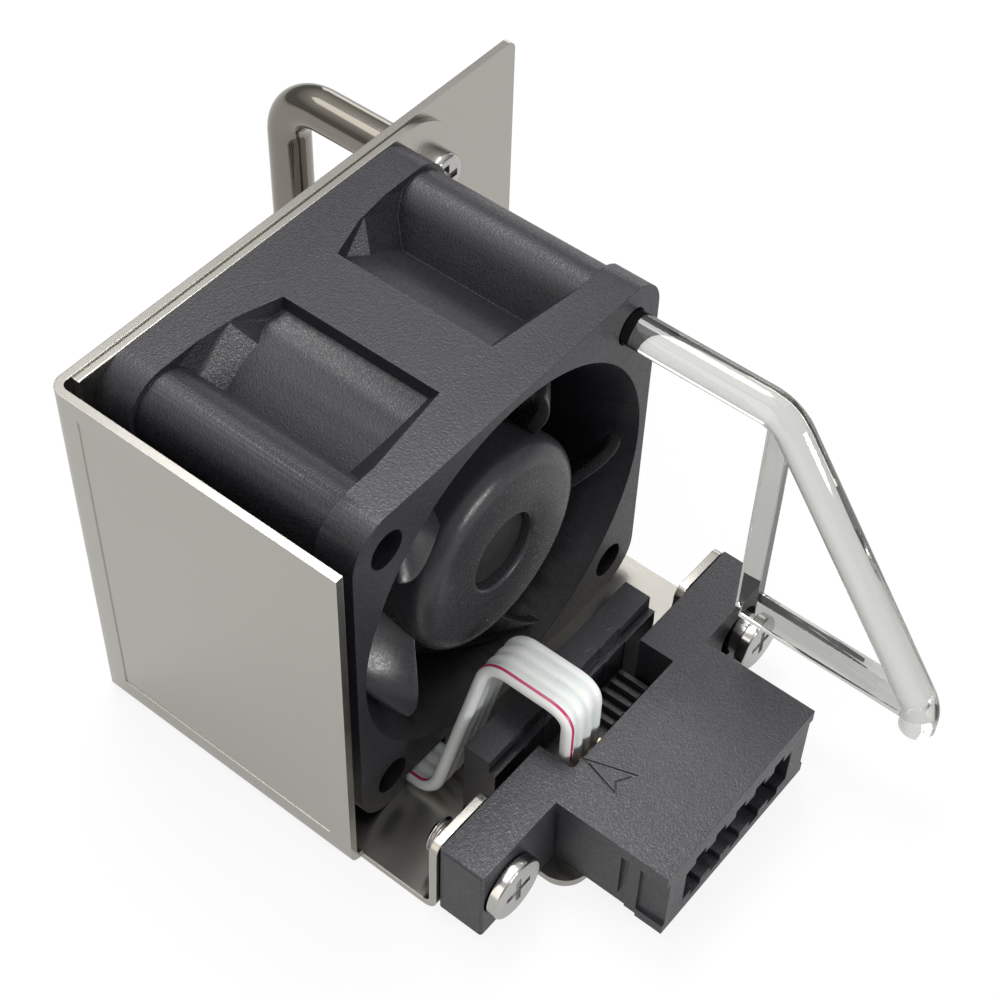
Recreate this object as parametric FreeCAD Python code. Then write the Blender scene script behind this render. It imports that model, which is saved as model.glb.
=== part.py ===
import FreeCAD, Part
import os
from math import asin, atan2, cos, sin, tan, pi, sqrt, radians

# Fan module: a 40 mm axial fan in a bent sheet bracket with a pull handle, a light pipe
# and a floating blind-mate connector. Millimetres, +Z up, +Y is the way the module slides in.
# The origin is on the underside of the base plate, below the middle of the fan.

V = FreeCAD.Vector
X_AXIS = V(1, 0, 0)
Y_AXIS = V(0, 1, 0)
Z_AXIS = V(0, 0, 1)
OVER = 1.0

# Sheet metal
SHEET = 0.8
BEND = 0.8
BRACKET_OVER = 0.2
FACE_REACH = 16.0
WALL_GAP = 2.5
WALL_FRONT = 15.4
BASE_RIGHT = -20.4
BASE_LEFT = 22.0
FLANGE_FACE = 24.1
FLANGE_TOP = 10.4
FLANGE_WINDOW = 14.0
TONGUE_HALF = 12.7
TONGUE_END = 32.2
TONGUE_CORNER = 2.6
COIN_MARGIN = 3.2
COIN_DEPTH = 0.1

# Fan frame
FAN = 40.0
FAN_DEPTH = 28.0
HOLE_INSET = 4.0
HOLE_R = 1.85
CORNER_R = 4.0
FLANGE_T = 4.0
BOSS_R = 3.5
BOSS_WEB_SPREAD = 2.64
RAMP_HIGH = 5.8
RAMP_LOW = 4.45
RAMP_KNEE = 7.7
WEB_HALF = 3.4
DUCT_INSET = 2.7
DUCT_WALL = 1.5
MOUTH_INSET = 1.0
MOTOR_BASE_R = 12.0
MOTOR_BASE_T = 2.6
STRUT_WIDTH = 2.0
STRUT_COUNT = 4

# Impeller
BLADE_COUNT = 5
TIP_GAP = 0.4
HUB_R = 10.8
HUB_WALL = 1.0
HUB_HOLE_R = 3.9
HUB_ROUND = 2.0
HOLE_ROUND = 0.4
HUB_INSET = 0.5
HUB_REAR = -6.0
BLADE_ROOT_T = 1.0
BLADE_TIP_T = 0.7
BLADE_CHORD = 11.0
TIP_INSET = 0.15
BLADE_DROP = 3.2
BLADE_NOTCH = 0.6
ROOT_SINK = 0.6
BLADE_SWEEP_DEG = 20.0
BLADE_START_DEG = 33.6
TIP_TURN_DEG = 66.0
ROOT_TURN_DEG = 37.4

# Motor
SHAFT_R = 1.5
SHAFT_FIT = 0.03
BEARING_R = 3.5
BEARING_T = 3.0
BALL_R = 0.48
BALL_COUNT = 6
BALL_GAP = 0.03
TUBE_R = 4.2
CUP_T = 0.8
MAGNET_T = 1.4
MAGNET_LENGTH = 10.0
AIR_GAP = 0.3
STACK_LENGTH = 7.0
POLE_COUNT = 4
POLE_WIDTH = 1.8
SHOE_T = 0.8
INSULATOR_T = 0.5
COIL_T = 0.9
CORE_RING = 0.8
BOARD_T = 1.0
BUSH_R = 2.6
BUSH_LENGTH = 4.6
CLIP_T = 0.4
WASHER_T = 0.5
PARTS_REACH = 7.4
CHIP_SIZE = (3.6, 1.1, 4.8)
SENSOR_SIZE = (2.4, 1.4, 1.6)
CAPACITOR_SIZE = (2.0, 0.9, 1.2)

# Handle and its screws
HANDLE_R = 2.2
HANDLE_ASIDE = 2.9
HANDLE_PITCH = 26.0
HANDLE_REACH = 19.0
HANDLE_BEND = 5.0
PAN_R = 2.5
PAN_H = 1.7
PAN_ROUND = 0.6
CROSS_DEPTH = 0.9
HANDLE_THREAD_R = 1.25
HANDLE_THREAD_LENGTH = 5.0
PLATE_HOLE_PLAY = 0.15
HEAD_PLAY = 0.1

# Backing plate and air grille
BACKING_OVER = 1.2
BACKING_LOBE = 3.5
BACKING_CORNER = 7.0
GRILLE_HOLE_R = 1.5
GRILLE_PITCH = 4.0
GRILLE_INSET = 3.0
AIR_HOLE_INSET = 1.6
FAN_SCREW_R = 1.5
FAN_SCREW_LENGTH = 7.0
FLAT_HEAD_R = 3.1
FLAT_HEAD_H = 1.3
FLAT_HEAD_SINK = 0.05

# Light pipe
PIPE_R = 1.7
PIPE_BEND_Y = 30.0
PIPE_END_Y = 48.25
PIPE_END_Z = 8.8
PIPE_DROP = 2.7
PIPE_ELBOW = 4.0
STRUT_T = 1.2
STRUT_DEPTH = 3.6
POST_REAR = 28.7
POST_DEPTH = 2.05
BRACE_Z = 11.1
FOOT_GAP = 0.3

# Connector
CONN_X = 0.65
CONN_BOTTOM = 0.85
CONN_TOP = 10.2
EAR_HALF = 21.05
EAR_T = 4.75
SEAT_GAP = 0.05
MAIN_HALF = 11.1
MAIN_FRONT = 40.8
LID_T = 1.4
LID_LIP = 0.5
LEDGE_T = 1.2
PANEL_T = 0.35
NOTCH_HALF = 7.45
NOTCH_DEPTH = 3.75
NOTCH_FLOOR = 1.5
SOCKET_HALF = 8.05
SOCKET_LOW = 2.8
SOCKET_HEIGHT = 4.4
SOCKET_DEPTH = 10.0
WINDOW_COUNT = 5
WINDOW_PITCH = 3.0
MARK_DEPTH = 0.15

# Shoulder screws and their nuts
SCREW_HALF = 17.6
SCREW_Z = 5.5
SHOULDER_R = 2.4
FLOAT_TRAVEL = 0.5
FLOAT_PLAY = 0.15
HEAD_GAP = 0.1
RIGHT_SCREW_BACK = 1.2
HEAD_R = 3.1
HEAD_H = 1.15
THREAD_R = 1.75
THREAD_LENGTH = 3.1
NUT_R = 2.4
NUT_T = 0.8

# Wire retainer and contacts
RETAINER_HALF = 11.8
RETAINER_REAR = 19.3
RETAINER_T = 3.5
RETAINER_TOP = 10.5
CORE_HALF = 7.2
CORE_TOP = 4.6
SCALLOP_R = 1.2
CONTACT_PITCH = 1.27
CONTACT_T = 0.6
BLADE_CONTACT_COUNT = 5

# Ribbon cable: four joined conductors side by side along X
WIRE_COUNT = 4
WIRE_PITCH = 1.27
WIRE_R = 0.64
RIBBON_X = 4.9
RIBBON_EXIT_X = 11.4
RIBBON_TOP = 15.05
RIBBON_RISE_Y = 16.6
RIBBON_BACK_Y = 17.3
RIBBON_DOWN_Y = 26.2
RIBBON_END_Z = 6.6
FOLD_RADII = (1.7, 1.9, 2.1)

# Places worked out from the sizes above
AXIS_Z = SHEET + FAN / 2
BRACKET_TOP = SHEET + FAN + BRACKET_OVER
FACE_RIGHT = -(FAN / 2 + FACE_REACH)
DUCT_R = FAN / 2 - DUCT_INSET
DUCT_MOUTH_R = FAN / 2 - MOUTH_INSET
AIR_HOLE_R = FAN / 2 - AIR_HOLE_INSET
GRILLE_REACH = FAN / 2 - GRILLE_INSET
HANDLE_X = -(FAN / 2 + HANDLE_ASIDE)
BACKING_LEFT = FAN / 2 + BACKING_OVER
BACKING_RIGHT = HANDLE_X - BACKING_LOBE
FAN_REAR = -FAN_DEPTH / 2
FAN_FRONT = FAN_DEPTH / 2
BACKING_REAR = FAN_REAR - SHEET
FACE_OUT = BACKING_REAR - SHEET
WALL_IN = FAN / 2 + WALL_GAP
WALL_OUT = WALL_IN + SHEET
HOLE = FAN / 2 - HOLE_INSET
HUB_FACE = FAN_FRONT - HUB_INSET
BASE_FRONT_Y = FAN_REAR + 0.5 + MOTOR_BASE_T
BLADE_TIP_R = DUCT_R - TIP_GAP
CUP_R = HUB_R - HUB_WALL
CUP_FACE = HUB_FACE - 1.2
MAGNET_OUT = CUP_R - CUP_T
MAGNET_IN = MAGNET_OUT - MAGNET_T
STATOR_R = MAGNET_IN - AIR_GAP
STACK_MID = -0.5
TUBE_REAR = BASE_FRONT_Y - MOTOR_BASE_T + 0.6
TUBE_FRONT = 6.4
BEARING_SPOTS = (TUBE_REAR + 1.2, TUBE_FRONT - BEARING_T)
EAR_REAR = FLANGE_FACE + SEAT_GAP
EAR_FRONT = EAR_REAR + EAR_T
HEAD_REAR = EAR_FRONT + HEAD_GAP
PIPE_X = -HOLE
PIPE_Z = AXIS_Z + HOLE


def box(x, y, z):
    """A block from three (low, high) pairs."""
    return Part.makeBox(x[1] - x[0], y[1] - y[0], z[1] - z[0], V(x[0], y[0], z[0]))


def rod(r, y0, y1, x=0.0, z=AXIS_Z):
    """A cylinder along Y."""
    return Part.makeCylinder(r, y1 - y0, V(x, y0, z), Y_AXIS)


def ring(r_out, r_in, y0, y1, x=0.0, z=AXIS_Z):
    return rod(r_out, y0, y1, x, z).cut(rod(r_in, y0 - OVER, y1 + OVER, x, z))


def extrude(points, direction):
    """A prism on a closed outline."""
    wire = Part.makePolygon(points + [points[0]])
    return Part.Face(wire).extrude(direction)


def rounded(shape, radius, pick):
    """Fillet the edges whose middle passes the test."""
    edges = [e for e in shape.Edges if pick(e.CenterOfMass, e)]
    return shape.makeFillet(radius, edges)


def straight(edge, axis):
    """True for a straight edge that lies along an axis."""
    if edge.Curve.TypeId != "Part::GeomLine":
        return False
    return abs(abs(edge.Curve.Direction.dot(axis)) - 1) < 1e-6


def fused(shapes):
    return shapes[0].multiFuse(shapes[1:]).removeSplitter() if len(shapes) > 1 else shapes[0]


def turned(shape, count, axis=Y_AXIS, x=0.0, z=AXIS_Z):
    """Copies of a shape spaced evenly about the fan's axis."""
    out = []
    for i in range(count):
        copy = shape.copy()
        copy.rotate(V(x, 0, z), axis, 360.0 * i / count)
        out.append(copy)
    return out


def save(name, shapes):
    shape = shapes if isinstance(shapes, Part.Shape) else Part.makeCompound(shapes)
    shape.exportStep("parts/" + name + ".step")


def fan_screw_places():
    """The fan's rear holes that take a screw: all but the light pipe's."""
    spots = [(sx * HOLE, AXIS_Z + sz * HOLE) for sx in (-1, 1) for sz in (-1, 1)]
    return [s for s in spots if s != (PIPE_X, PIPE_Z)]


def handle_places():
    return [(HANDLE_X, AXIS_Z + s * HANDLE_PITCH / 2) for s in (-1, 1)]


def grille_cells():
    """Centres of the round air holes, in a staggered grid inside the duct's circle."""
    row_step = GRILLE_PITCH * sqrt(3) / 2
    rows = int(GRILLE_REACH / row_step) + 1
    for j in range(-rows, rows + 1):
        for i in range(-rows - 1, rows + 2):
            x = GRILLE_PITCH * (i + (j % 2) / 2)
            z = row_step * j
            if sqrt(x * x + z * z) <= GRILLE_REACH:
                yield x, AXIS_Z + z


def bent_corner(y0, z0, length):
    """A quarter bend along X, with its outer corner at (y0, z0) and its legs towards +Y and +Z."""
    outer = BEND + SHEET
    sheet = Part.makeCylinder(outer, length, V(0, y0 + outer, z0 + outer), X_AXIS)
    sheet = sheet.cut(Part.makeCylinder(BEND, length, V(0, y0 + outer, z0 + outer), X_AXIS))
    return sheet.common(box((0, length), (y0, y0 + outer), (z0, z0 + outer)))


def bracket_faceplate():
    plate = box((FACE_RIGHT, WALL_IN - BEND), (FACE_OUT, BACKING_REAR), (0, BRACKET_TOP))
    plate = rounded(plate, 1.0, lambda c, e: straight(e, Y_AXIS) and c.x < FACE_RIGHT + 0.1)
    for x, z in grille_cells():
        plate = plate.cut(rod(GRILLE_HOLE_R, FACE_OUT - OVER, BACKING_REAR + OVER, x, z))
    for x, z in fan_screw_places():
        plate = plate.cut(rod(FAN_SCREW_R + PLATE_HOLE_PLAY, FACE_OUT - OVER, BACKING_REAR + OVER, x, z))
        plate = plate.cut(flat_head(x, z, HEAD_PLAY))
    for x, z in handle_places():
        plate = plate.cut(
            rod(HANDLE_THREAD_R + PLATE_HOLE_PLAY, FACE_OUT - OVER, BACKING_REAR + OVER, x, z)
        )
    lens = rod(PIPE_R + PLATE_HOLE_PLAY, FACE_OUT - OVER, BACKING_REAR + OVER, PIPE_X, PIPE_Z)
    return plate.cut(lens)


def bracket_shell():
    """Side wall, its two rounded bends and the base plate, as one bent sheet."""
    outer = BEND + SHEET
    block = box((-60, WALL_OUT), (FACE_OUT, 60), (0, 60))
    block = rounded(
        block, outer, lambda c, e: (straight(e, Z_AXIS) and c.x > 0 and c.y < 0)
        or (straight(e, Y_AXIS) and c.x > 0 and c.z < 1)
    )
    room = box((-61, WALL_IN), (BACKING_REAR, 61), (SHEET, 61))
    room = rounded(
        room, BEND, lambda c, e: (straight(e, Z_AXIS) and c.x > 0 and c.y < 0)
        or (straight(e, Y_AXIS) and c.x > 0 and c.z < 1)
    )
    shell = block.cut(room)
    wall = shell.common(box((WALL_IN - BEND, WALL_OUT), (FACE_OUT, WALL_FRONT), (0, BRACKET_TOP)))
    base = shell.common(box((BASE_RIGHT, WALL_IN - BEND), (FACE_OUT, WALL_FRONT), (0, SHEET)))
    return [wall, base]


def bracket_front():
    """The base plate ahead of the wall, its bent-up flange and the tongue below the connector."""
    outer = BEND + SHEET
    front = box((BASE_RIGHT, BASE_LEFT), (WALL_FRONT, FLANGE_FACE - outer), (0, SHEET))
    tongue = box(
        (CONN_X - TONGUE_HALF, CONN_X + TONGUE_HALF), (FLANGE_FACE - outer, TONGUE_END), (0, SHEET)
    )
    tongue = rounded(
        tongue, TONGUE_CORNER, lambda c, e: straight(e, Z_AXIS) and c.y > TONGUE_END - 0.1
    )
    ears = []
    for low, high in ((BASE_RIGHT, CONN_X - FLANGE_WINDOW), (CONN_X + FLANGE_WINDOW, BASE_LEFT)):
        ear = box((low, high), (FLANGE_FACE - SHEET, FLANGE_FACE), (outer, FLANGE_TOP))
        ear = rounded(ear, 1.2, lambda c, e: straight(e, Y_AXIS) and c.z > FLANGE_TOP - 0.1)
        bend = bent_corner(-FLANGE_FACE, 0, high - low)
        bend = bend.mirror(V(0, 0, 0), Y_AXIS)
        bend.translate(V(low, 0, 0))
        ears += [ear, bend]
    front = fused([front, tongue] + ears)
    for s in (-1, 1):
        x = CONN_X + s * SCREW_HALF
        front = front.cut(rod(THREAD_R, FLANGE_FACE - SHEET - OVER, FLANGE_FACE + OVER, x, SCREW_Z))
    return front


def bracket():
    sheet = fused([bracket_faceplate()] + bracket_shell() + [bracket_front()])
    coin = box(
        (WALL_OUT - COIN_DEPTH, WALL_OUT + OVER),
        (FACE_OUT + COIN_MARGIN, WALL_FRONT - COIN_MARGIN / 1.3),
        (COIN_MARGIN, BRACKET_TOP - COIN_MARGIN / 1.6),
    )
    return sheet.cut(coin)


def backing_plate():
    """The second sheet, between faceplate and fan, with a lobe behind the handle's screws."""
    plate = box((BACKING_RIGHT, BACKING_LEFT), (BACKING_REAR, FAN_REAR), (BEND + SHEET, BRACKET_TOP - 0.2))
    plate = rounded(
        plate, BACKING_CORNER, lambda c, e: straight(e, Y_AXIS) and c.x < BACKING_RIGHT + 0.1
    )
    plate = plate.cut(rod(AIR_HOLE_R, BACKING_REAR - OVER, FAN_REAR + OVER))
    for x, z in fan_screw_places():
        plate = plate.cut(rod(FAN_SCREW_R + PLATE_HOLE_PLAY, BACKING_REAR - OVER, FAN_REAR + OVER, x, z))
        plate = plate.cut(flat_head(x, z, HEAD_PLAY))
    for x, z in handle_places():
        plate = plate.cut(
            rod(HANDLE_THREAD_R + PLATE_HOLE_PLAY, BACKING_REAR - OVER, FAN_REAR + OVER, x, z)
        )
    lens = rod(PIPE_R + PLATE_HOLE_PLAY, BACKING_REAR - OVER, FAN_REAR + OVER, PIPE_X, PIPE_Z)
    return plate.cut(lens)


def half_space(point, normal):
    """A large block that fills the side a plane's normal points to."""
    size = 120.0
    block = Part.makeBox(size, size, size, V(-size / 2, -size / 2, 0))
    turn = FreeCAD.Rotation(Z_AXIS, normal)
    block.Placement = FreeCAD.Placement(point, turn)
    return block


def pocket_half():
    """The recess beside the top web, up to the corner's diagonal, with moulded end facets."""
    half = FAN / 2
    room = box(
        (WEB_HALF, half + OVER), (FAN_REAR + FLANGE_T, FAN_FRONT - FLANGE_T), (WEB_HALF, half + OVER)
    )
    room = room.common(half_space(V(0, 0, 0), V(-1, 0, 1)))
    fall = (RAMP_HIGH - RAMP_LOW) / (RAMP_KNEE - WEB_HALF)
    room = room.common(half_space(V(WEB_HALF, FAN_REAR + RAMP_HIGH, half), V(fall, 1.0, 0)))
    room = room.common(half_space(V(RAMP_KNEE, FAN_REAR + RAMP_LOW, half), V(0.12, 1.0, 0.28)))
    front = V(WEB_HALF, FAN_FRONT - 5.2, half)
    return room.common(half_space(front, V(0.13, -1.0, 0.78)))


def boss_web():
    """Solid corner behind the two flat walls that run from the duct wall to the boss."""
    wall_r = DUCT_R + DUCT_WALL
    foot_angle = pi / 4 + BOSS_WEB_SPREAD / wall_r
    foot = V(cos(foot_angle), 0, sin(foot_angle)) * wall_r
    centre = V(HOLE, 0, HOLE)
    reach = centre.sub(foot)
    lead = atan2(reach.z, reach.x) + asin(BOSS_R / reach.Length)
    wall = sqrt(reach.Length ** 2 - BOSS_R ** 2)
    touch = foot + V(cos(lead), 0, sin(lead)) * wall
    corners = [V(0, 0, 0), foot, touch, centre, V(touch.z, 0, touch.x), V(foot.z, 0, foot.x)]
    web = Part.Face(Part.makePolygon(corners + corners[:1])).extrude(V(0, FAN_DEPTH, 0))
    web.translate(V(0, FAN_REAR, 0))
    return web


def corner_cutter():
    half = pocket_half()
    other = half.mirror(V(0, 0, 0), V(-1, 0, 1))
    both = half.fuse(other)
    wall = Part.makeCylinder(DUCT_R + DUCT_WALL, FAN_DEPTH, V(0, FAN_REAR, 0), Y_AXIS)
    boss = Part.makeCylinder(BOSS_R, FAN_DEPTH, V(HOLE, FAN_REAR, HOLE), Y_AXIS)
    both = both.cut(wall).cut(boss).cut(boss_web())
    both.translate(V(0, 0, AXIS_Z))
    return both


def duct_void():
    """The air path: straight bore that flares to the front and the rear mouth."""
    edge = FAN_FRONT - FLANGE_T
    mouth = FAN_FRONT + OVER
    points = [
        V(0, -mouth, 0), V(DUCT_MOUTH_R, -mouth, 0), V(DUCT_MOUTH_R, FAN_REAR, 0),
        V(DUCT_R, -edge, 0), V(DUCT_R, edge, 0), V(DUCT_MOUTH_R, FAN_FRONT, 0),
        V(DUCT_MOUTH_R, mouth, 0), V(0, mouth, 0),
    ]
    wire = Part.makePolygon(points + [points[0]])
    void = Part.Face(wire).revolve(V(0, 0, 0), Y_AXIS, 360)
    void.translate(V(0, 0, AXIS_Z))
    return void


def motor_mount():
    """Round motor base, its four struts and the collar that holds the bearing tube."""
    rear = BASE_FRONT_Y - MOTOR_BASE_T
    mount = rod(MOTOR_BASE_R, rear, BASE_FRONT_Y)
    strut = box(
        (MOTOR_BASE_R - 1, DUCT_R + DUCT_WALL / 2), (rear, BASE_FRONT_Y),
        (AXIS_Z - STRUT_WIDTH / 2, AXIS_Z + STRUT_WIDTH / 2),
    )
    strut.rotate(V(0, 0, AXIS_Z), Y_AXIS, 60)
    bore = rod(TUBE_R, TUBE_REAR, BASE_FRONT_Y + OVER)
    return mount.cut(bore), turned(strut, STRUT_COUNT)


def fan_frame():
    half = FAN / 2
    frame = box((-half, half), (FAN_REAR, FAN_FRONT), (AXIS_Z - half, AXIS_Z + half))
    frame = rounded(frame, CORNER_R, lambda c, e: straight(e, Y_AXIS))
    frame = frame.cut(duct_void())
    for cutter in turned(corner_cutter(), 4):
        frame = frame.cut(cutter)
    mount, struts = motor_mount()
    frame = fused([frame, mount] + struts)
    for x, z in fan_screw_places():
        frame = frame.cut(rod(FAN_SCREW_R, FAN_REAR - OVER, FAN_FRONT, x, z))
        frame = frame.cut(rod(HOLE_R, FAN_REAR + FAN_SCREW_LENGTH + 0.2, FAN_FRONT + OVER, x, z))
    frame = frame.cut(rod(HOLE_R, FAN_REAR - OVER, FAN_FRONT + OVER, PIPE_X, PIPE_Z))
    ribbon_half = WIRE_PITCH * WIRE_COUNT / 2 + 0.2
    notch = box(
        (RIBBON_EXIT_X - ribbon_half, RIBBON_EXIT_X + ribbon_half),
        (FAN_REAR + FLANGE_T, FAN_FRONT + OVER), (0, SHEET + 2 * WIRE_R + 0.4),
    )
    slot = box(
        (RIBBON_EXIT_X - ribbon_half - 4.2, RIBBON_EXIT_X + ribbon_half - 0.4),
        (FAN_REAR + FLANGE_T, FAN_REAR + FLANGE_T + 5.0),
        (0, AXIS_Z - MOTOR_BASE_R + 0.5),
    )
    return frame.cut(notch).cut(slot)


def blade_grid(side):
    """Points of one blade face. Root and tip have their own twist; the front edge is swept."""
    stations = 5
    steps = 6
    root = HUB_R - ROOT_SINK
    grid = []
    for i in range(stations):
        u = i / (stations - 1)
        r = root + (BLADE_TIP_R - root) * u
        turn = ROOT_TURN_DEG + (TIP_TURN_DEG - ROOT_TURN_DEG) * u
        lead = BLADE_START_DEG + BLADE_SWEEP_DEG * (1 - u) ** 1.5
        front = FAN_FRONT - TIP_INSET - BLADE_DROP * (1 - u) ** 1.6 - BLADE_NOTCH * u ** 8
        thick = BLADE_ROOT_T + (BLADE_TIP_T - BLADE_ROOT_T) * u
        row = []
        for k in range(steps):
            t = k / (steps - 1)
            depth = BLADE_CHORD * t
            angle = radians(lead + turn * t * (1 - 0.18 * t))
            swell = thick * (0.35 + 0.65 * sin(pi * (0.12 + 0.76 * t)))
            lift = side * swell / 2
            row.append(V(r * cos(angle), front - depth + lift, AXIS_Z + r * sin(angle)))
        grid.append(row)
    return grid


def blade():
    """A twisted aerofoil blade: two spline faces closed by ruled edges."""
    faces = []
    for side in (-1, 1):
        surface = Part.BSplineSurface()
        surface.interpolate(blade_grid(side))
        faces.append(surface)
    low, high = faces
    shells = [low.toShape(), high.toShape()]
    u0, u1, v0, v1 = low.bounds()
    for u in (u0, u1):
        shells.append(Part.makeRuledSurface(low.uIso(u).toShape(), high.uIso(u).toShape()))
    for v in (v0, v1):
        shells.append(Part.makeRuledSurface(low.vIso(v).toShape(), high.vIso(v).toShape()))
    shell = Part.makeShell(shells)
    shell.sewShape()
    solid = Part.makeSolid(shell)
    if solid.Volume < 0:
        solid.reverse()
    return solid


def impeller():
    """Hub with a rounded rim and a central hole, and five swept blades."""
    hub = rod(HUB_R, HUB_REAR, HUB_FACE)
    hub = rounded(hub, HUB_ROUND, lambda c, e: c.y > HUB_FACE - 0.1 and e.Closed)
    hub = hub.cut(rod(CUP_R, HUB_REAR - OVER, CUP_FACE))
    hub = hub.cut(rod(HUB_HOLE_R, CUP_FACE - OVER, HUB_FACE + OVER))
    hub = rounded(
        hub, HOLE_ROUND, lambda c, e: c.y > HUB_FACE - 0.1 and e.Closed and e.Length < 2 * pi * HUB_HOLE_R + 0.1
    )
    blades = []
    for copy in turned(blade(), BLADE_COUNT):
        blades.append(copy.cut(rod(CUP_R + 0.1, HUB_REAR - OVER, HUB_FACE - OVER)))
    return fused([hub] + blades)


def rotor_cup():
    cup = rod(CUP_R, HUB_REAR, CUP_FACE)
    cup = cup.cut(rod(CUP_R - CUP_T, HUB_REAR - OVER, CUP_FACE - CUP_T))
    return cup.cut(rod(BUSH_R, CUP_FACE - 2, CUP_FACE + OVER))


def rotor_magnet():
    return ring(MAGNET_OUT, MAGNET_IN, STACK_MID - MAGNET_LENGTH / 2, STACK_MID + MAGNET_LENGTH / 2)


def rotor_bush():
    return ring(BUSH_R, SHAFT_R, CUP_FACE - BUSH_LENGTH, CUP_FACE)


def shaft():
    end = TUBE_REAR + 0.5
    body = rod(SHAFT_R, end, CUP_FACE - 0.3)
    groove_y = BEARING_SPOTS[0] - CLIP_T
    groove = ring(SHAFT_R + OVER, SHAFT_R - 0.3, groove_y, groove_y + CLIP_T)
    return body.cut(groove)


def retaining_ring():
    """Open clip in the shaft's groove, behind the rear bearing."""
    y = BEARING_SPOTS[0] - CLIP_T
    clip = ring(2.0, SHAFT_R - 0.28, y + 0.02, y + CLIP_T - 0.02)
    gap = box((-0.6, 0.6), (y - OVER, y + OVER), (AXIS_Z - 4, AXIS_Z))
    return clip.cut(gap)


def race_groove(y):
    """The ring-shaped path of a bearing's balls, a little larger than the balls."""
    pitch = (SHAFT_R + BEARING_R) / 2
    path = Part.makeTorus(pitch, BALL_R + BALL_GAP, V(0, y + BEARING_T / 2, AXIS_Z), Y_AXIS)
    return path


def bearing_outer(y):
    return ring(BEARING_R, BEARING_R - 0.7, y, y + BEARING_T).cut(race_groove(y))


def bearing_inner(y):
    inner = ring(SHAFT_R + 0.7, SHAFT_R + SHAFT_FIT, y, y + BEARING_T)
    return inner.cut(race_groove(y))


def bearing_balls(y):
    pitch = (SHAFT_R + BEARING_R) / 2
    ball = Part.makeSphere(BALL_R, V(pitch, y + BEARING_T / 2, AXIS_Z))
    return turned(ball, BALL_COUNT)


def preload_washer():
    front = BEARING_SPOTS[1] + BEARING_T
    return ring(SHAFT_R + 0.9, SHAFT_R + SHAFT_FIT, front, CUP_FACE - BUSH_LENGTH)


def bearing_tube():
    return ring(TUBE_R, BEARING_R, TUBE_REAR, TUBE_FRONT)


def stator_shape(extra, y0, y1):
    """Hub ring, poles and pole shoes of the stator, grown by extra all round."""
    core = rod(TUBE_R + CORE_RING, y0, y1)
    pole = box(
        (0, STATOR_R - SHOE_T / 2), (y0, y1),
        (AXIS_Z - POLE_WIDTH / 2 - extra, AXIS_Z + POLE_WIDTH / 2 + extra),
    )
    shoes = ring(STATOR_R, STATOR_R - SHOE_T, y0, y1)
    gap = box((0, STATOR_R + OVER), (y0 - OVER, y1 + OVER), (AXIS_Z - 0.5, AXIS_Z + 0.5))
    gap.rotate(V(0, 0, AXIS_Z), Y_AXIS, 180.0 / POLE_COUNT)
    for cut in turned(gap, POLE_COUNT):
        shoes = shoes.cut(cut)
    whole = fused([core, shoes] + turned(pole, POLE_COUNT))
    return whole.cut(rod(TUBE_R, y0 - OVER, y1 + OVER))


def stator_core():
    return stator_shape(0, STACK_MID - STACK_LENGTH / 2, STACK_MID + STACK_LENGTH / 2)


def stator_insulators():
    """Plastic end plates on both faces of the lamination stack."""
    front = STACK_MID + STACK_LENGTH / 2
    rear = STACK_MID - STACK_LENGTH / 2
    return [stator_shape(0, front, front + INSULATOR_T), stator_shape(0, rear - INSULATOR_T, rear)]


def stator_coils():
    """One winding round each pole's neck."""
    low = TUBE_R + CORE_RING + 0.05
    side = POLE_WIDTH / 2 + COIL_T
    high = sqrt((STATOR_R - SHOE_T) ** 2 - side ** 2) - 0.05
    half = STACK_LENGTH / 2 + INSULATOR_T
    outer = box(
        (low, high), (STACK_MID - half - COIL_T, STACK_MID + half + COIL_T),
        (AXIS_Z - POLE_WIDTH / 2 - COIL_T, AXIS_Z + POLE_WIDTH / 2 + COIL_T),
    )
    outer = rounded(outer, COIL_T * 0.8, lambda c, e: straight(e, X_AXIS))
    inner = box(
        (low - OVER, high + OVER), (STACK_MID - half, STACK_MID + half),
        (AXIS_Z - POLE_WIDTH / 2, AXIS_Z + POLE_WIDTH / 2),
    )
    return turned(outer.cut(inner), POLE_COUNT)


def motor_board():
    return ring(MOTOR_BASE_R - 1.0, TUBE_R + 0.2, BASE_FRONT_Y, BASE_FRONT_Y + BOARD_T)


def board_parts():
    """Driver chip, position sensor and two capacitors on the board."""
    top = BASE_FRONT_Y + BOARD_T
    parts = []
    spots = [(-PARTS_REACH, 0), (0, PARTS_REACH), (PARTS_REACH, 0), (PARTS_REACH, 2 * CAPACITOR_SIZE[2])]
    for (x, z), size in zip(spots, (CHIP_SIZE, SENSOR_SIZE, CAPACITOR_SIZE, CAPACITOR_SIZE)):
        wide, thick, high = size
        z += AXIS_Z
        parts.append(box((x - wide / 2, x + wide / 2), (top, top + thick), (z - high / 2, z + high / 2)))
    return parts


def swept_rod(radius, points, bends):
    """A round bar along straight runs joined by tangent arcs."""
    path = tangent_path(points, bends)
    start = points[0]
    direction = (points[1] - points[0]).normalize()
    section = Part.Wire(Part.Circle(start, direction, radius).toShape())
    return path.makePipeShell([section], True, False)


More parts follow.
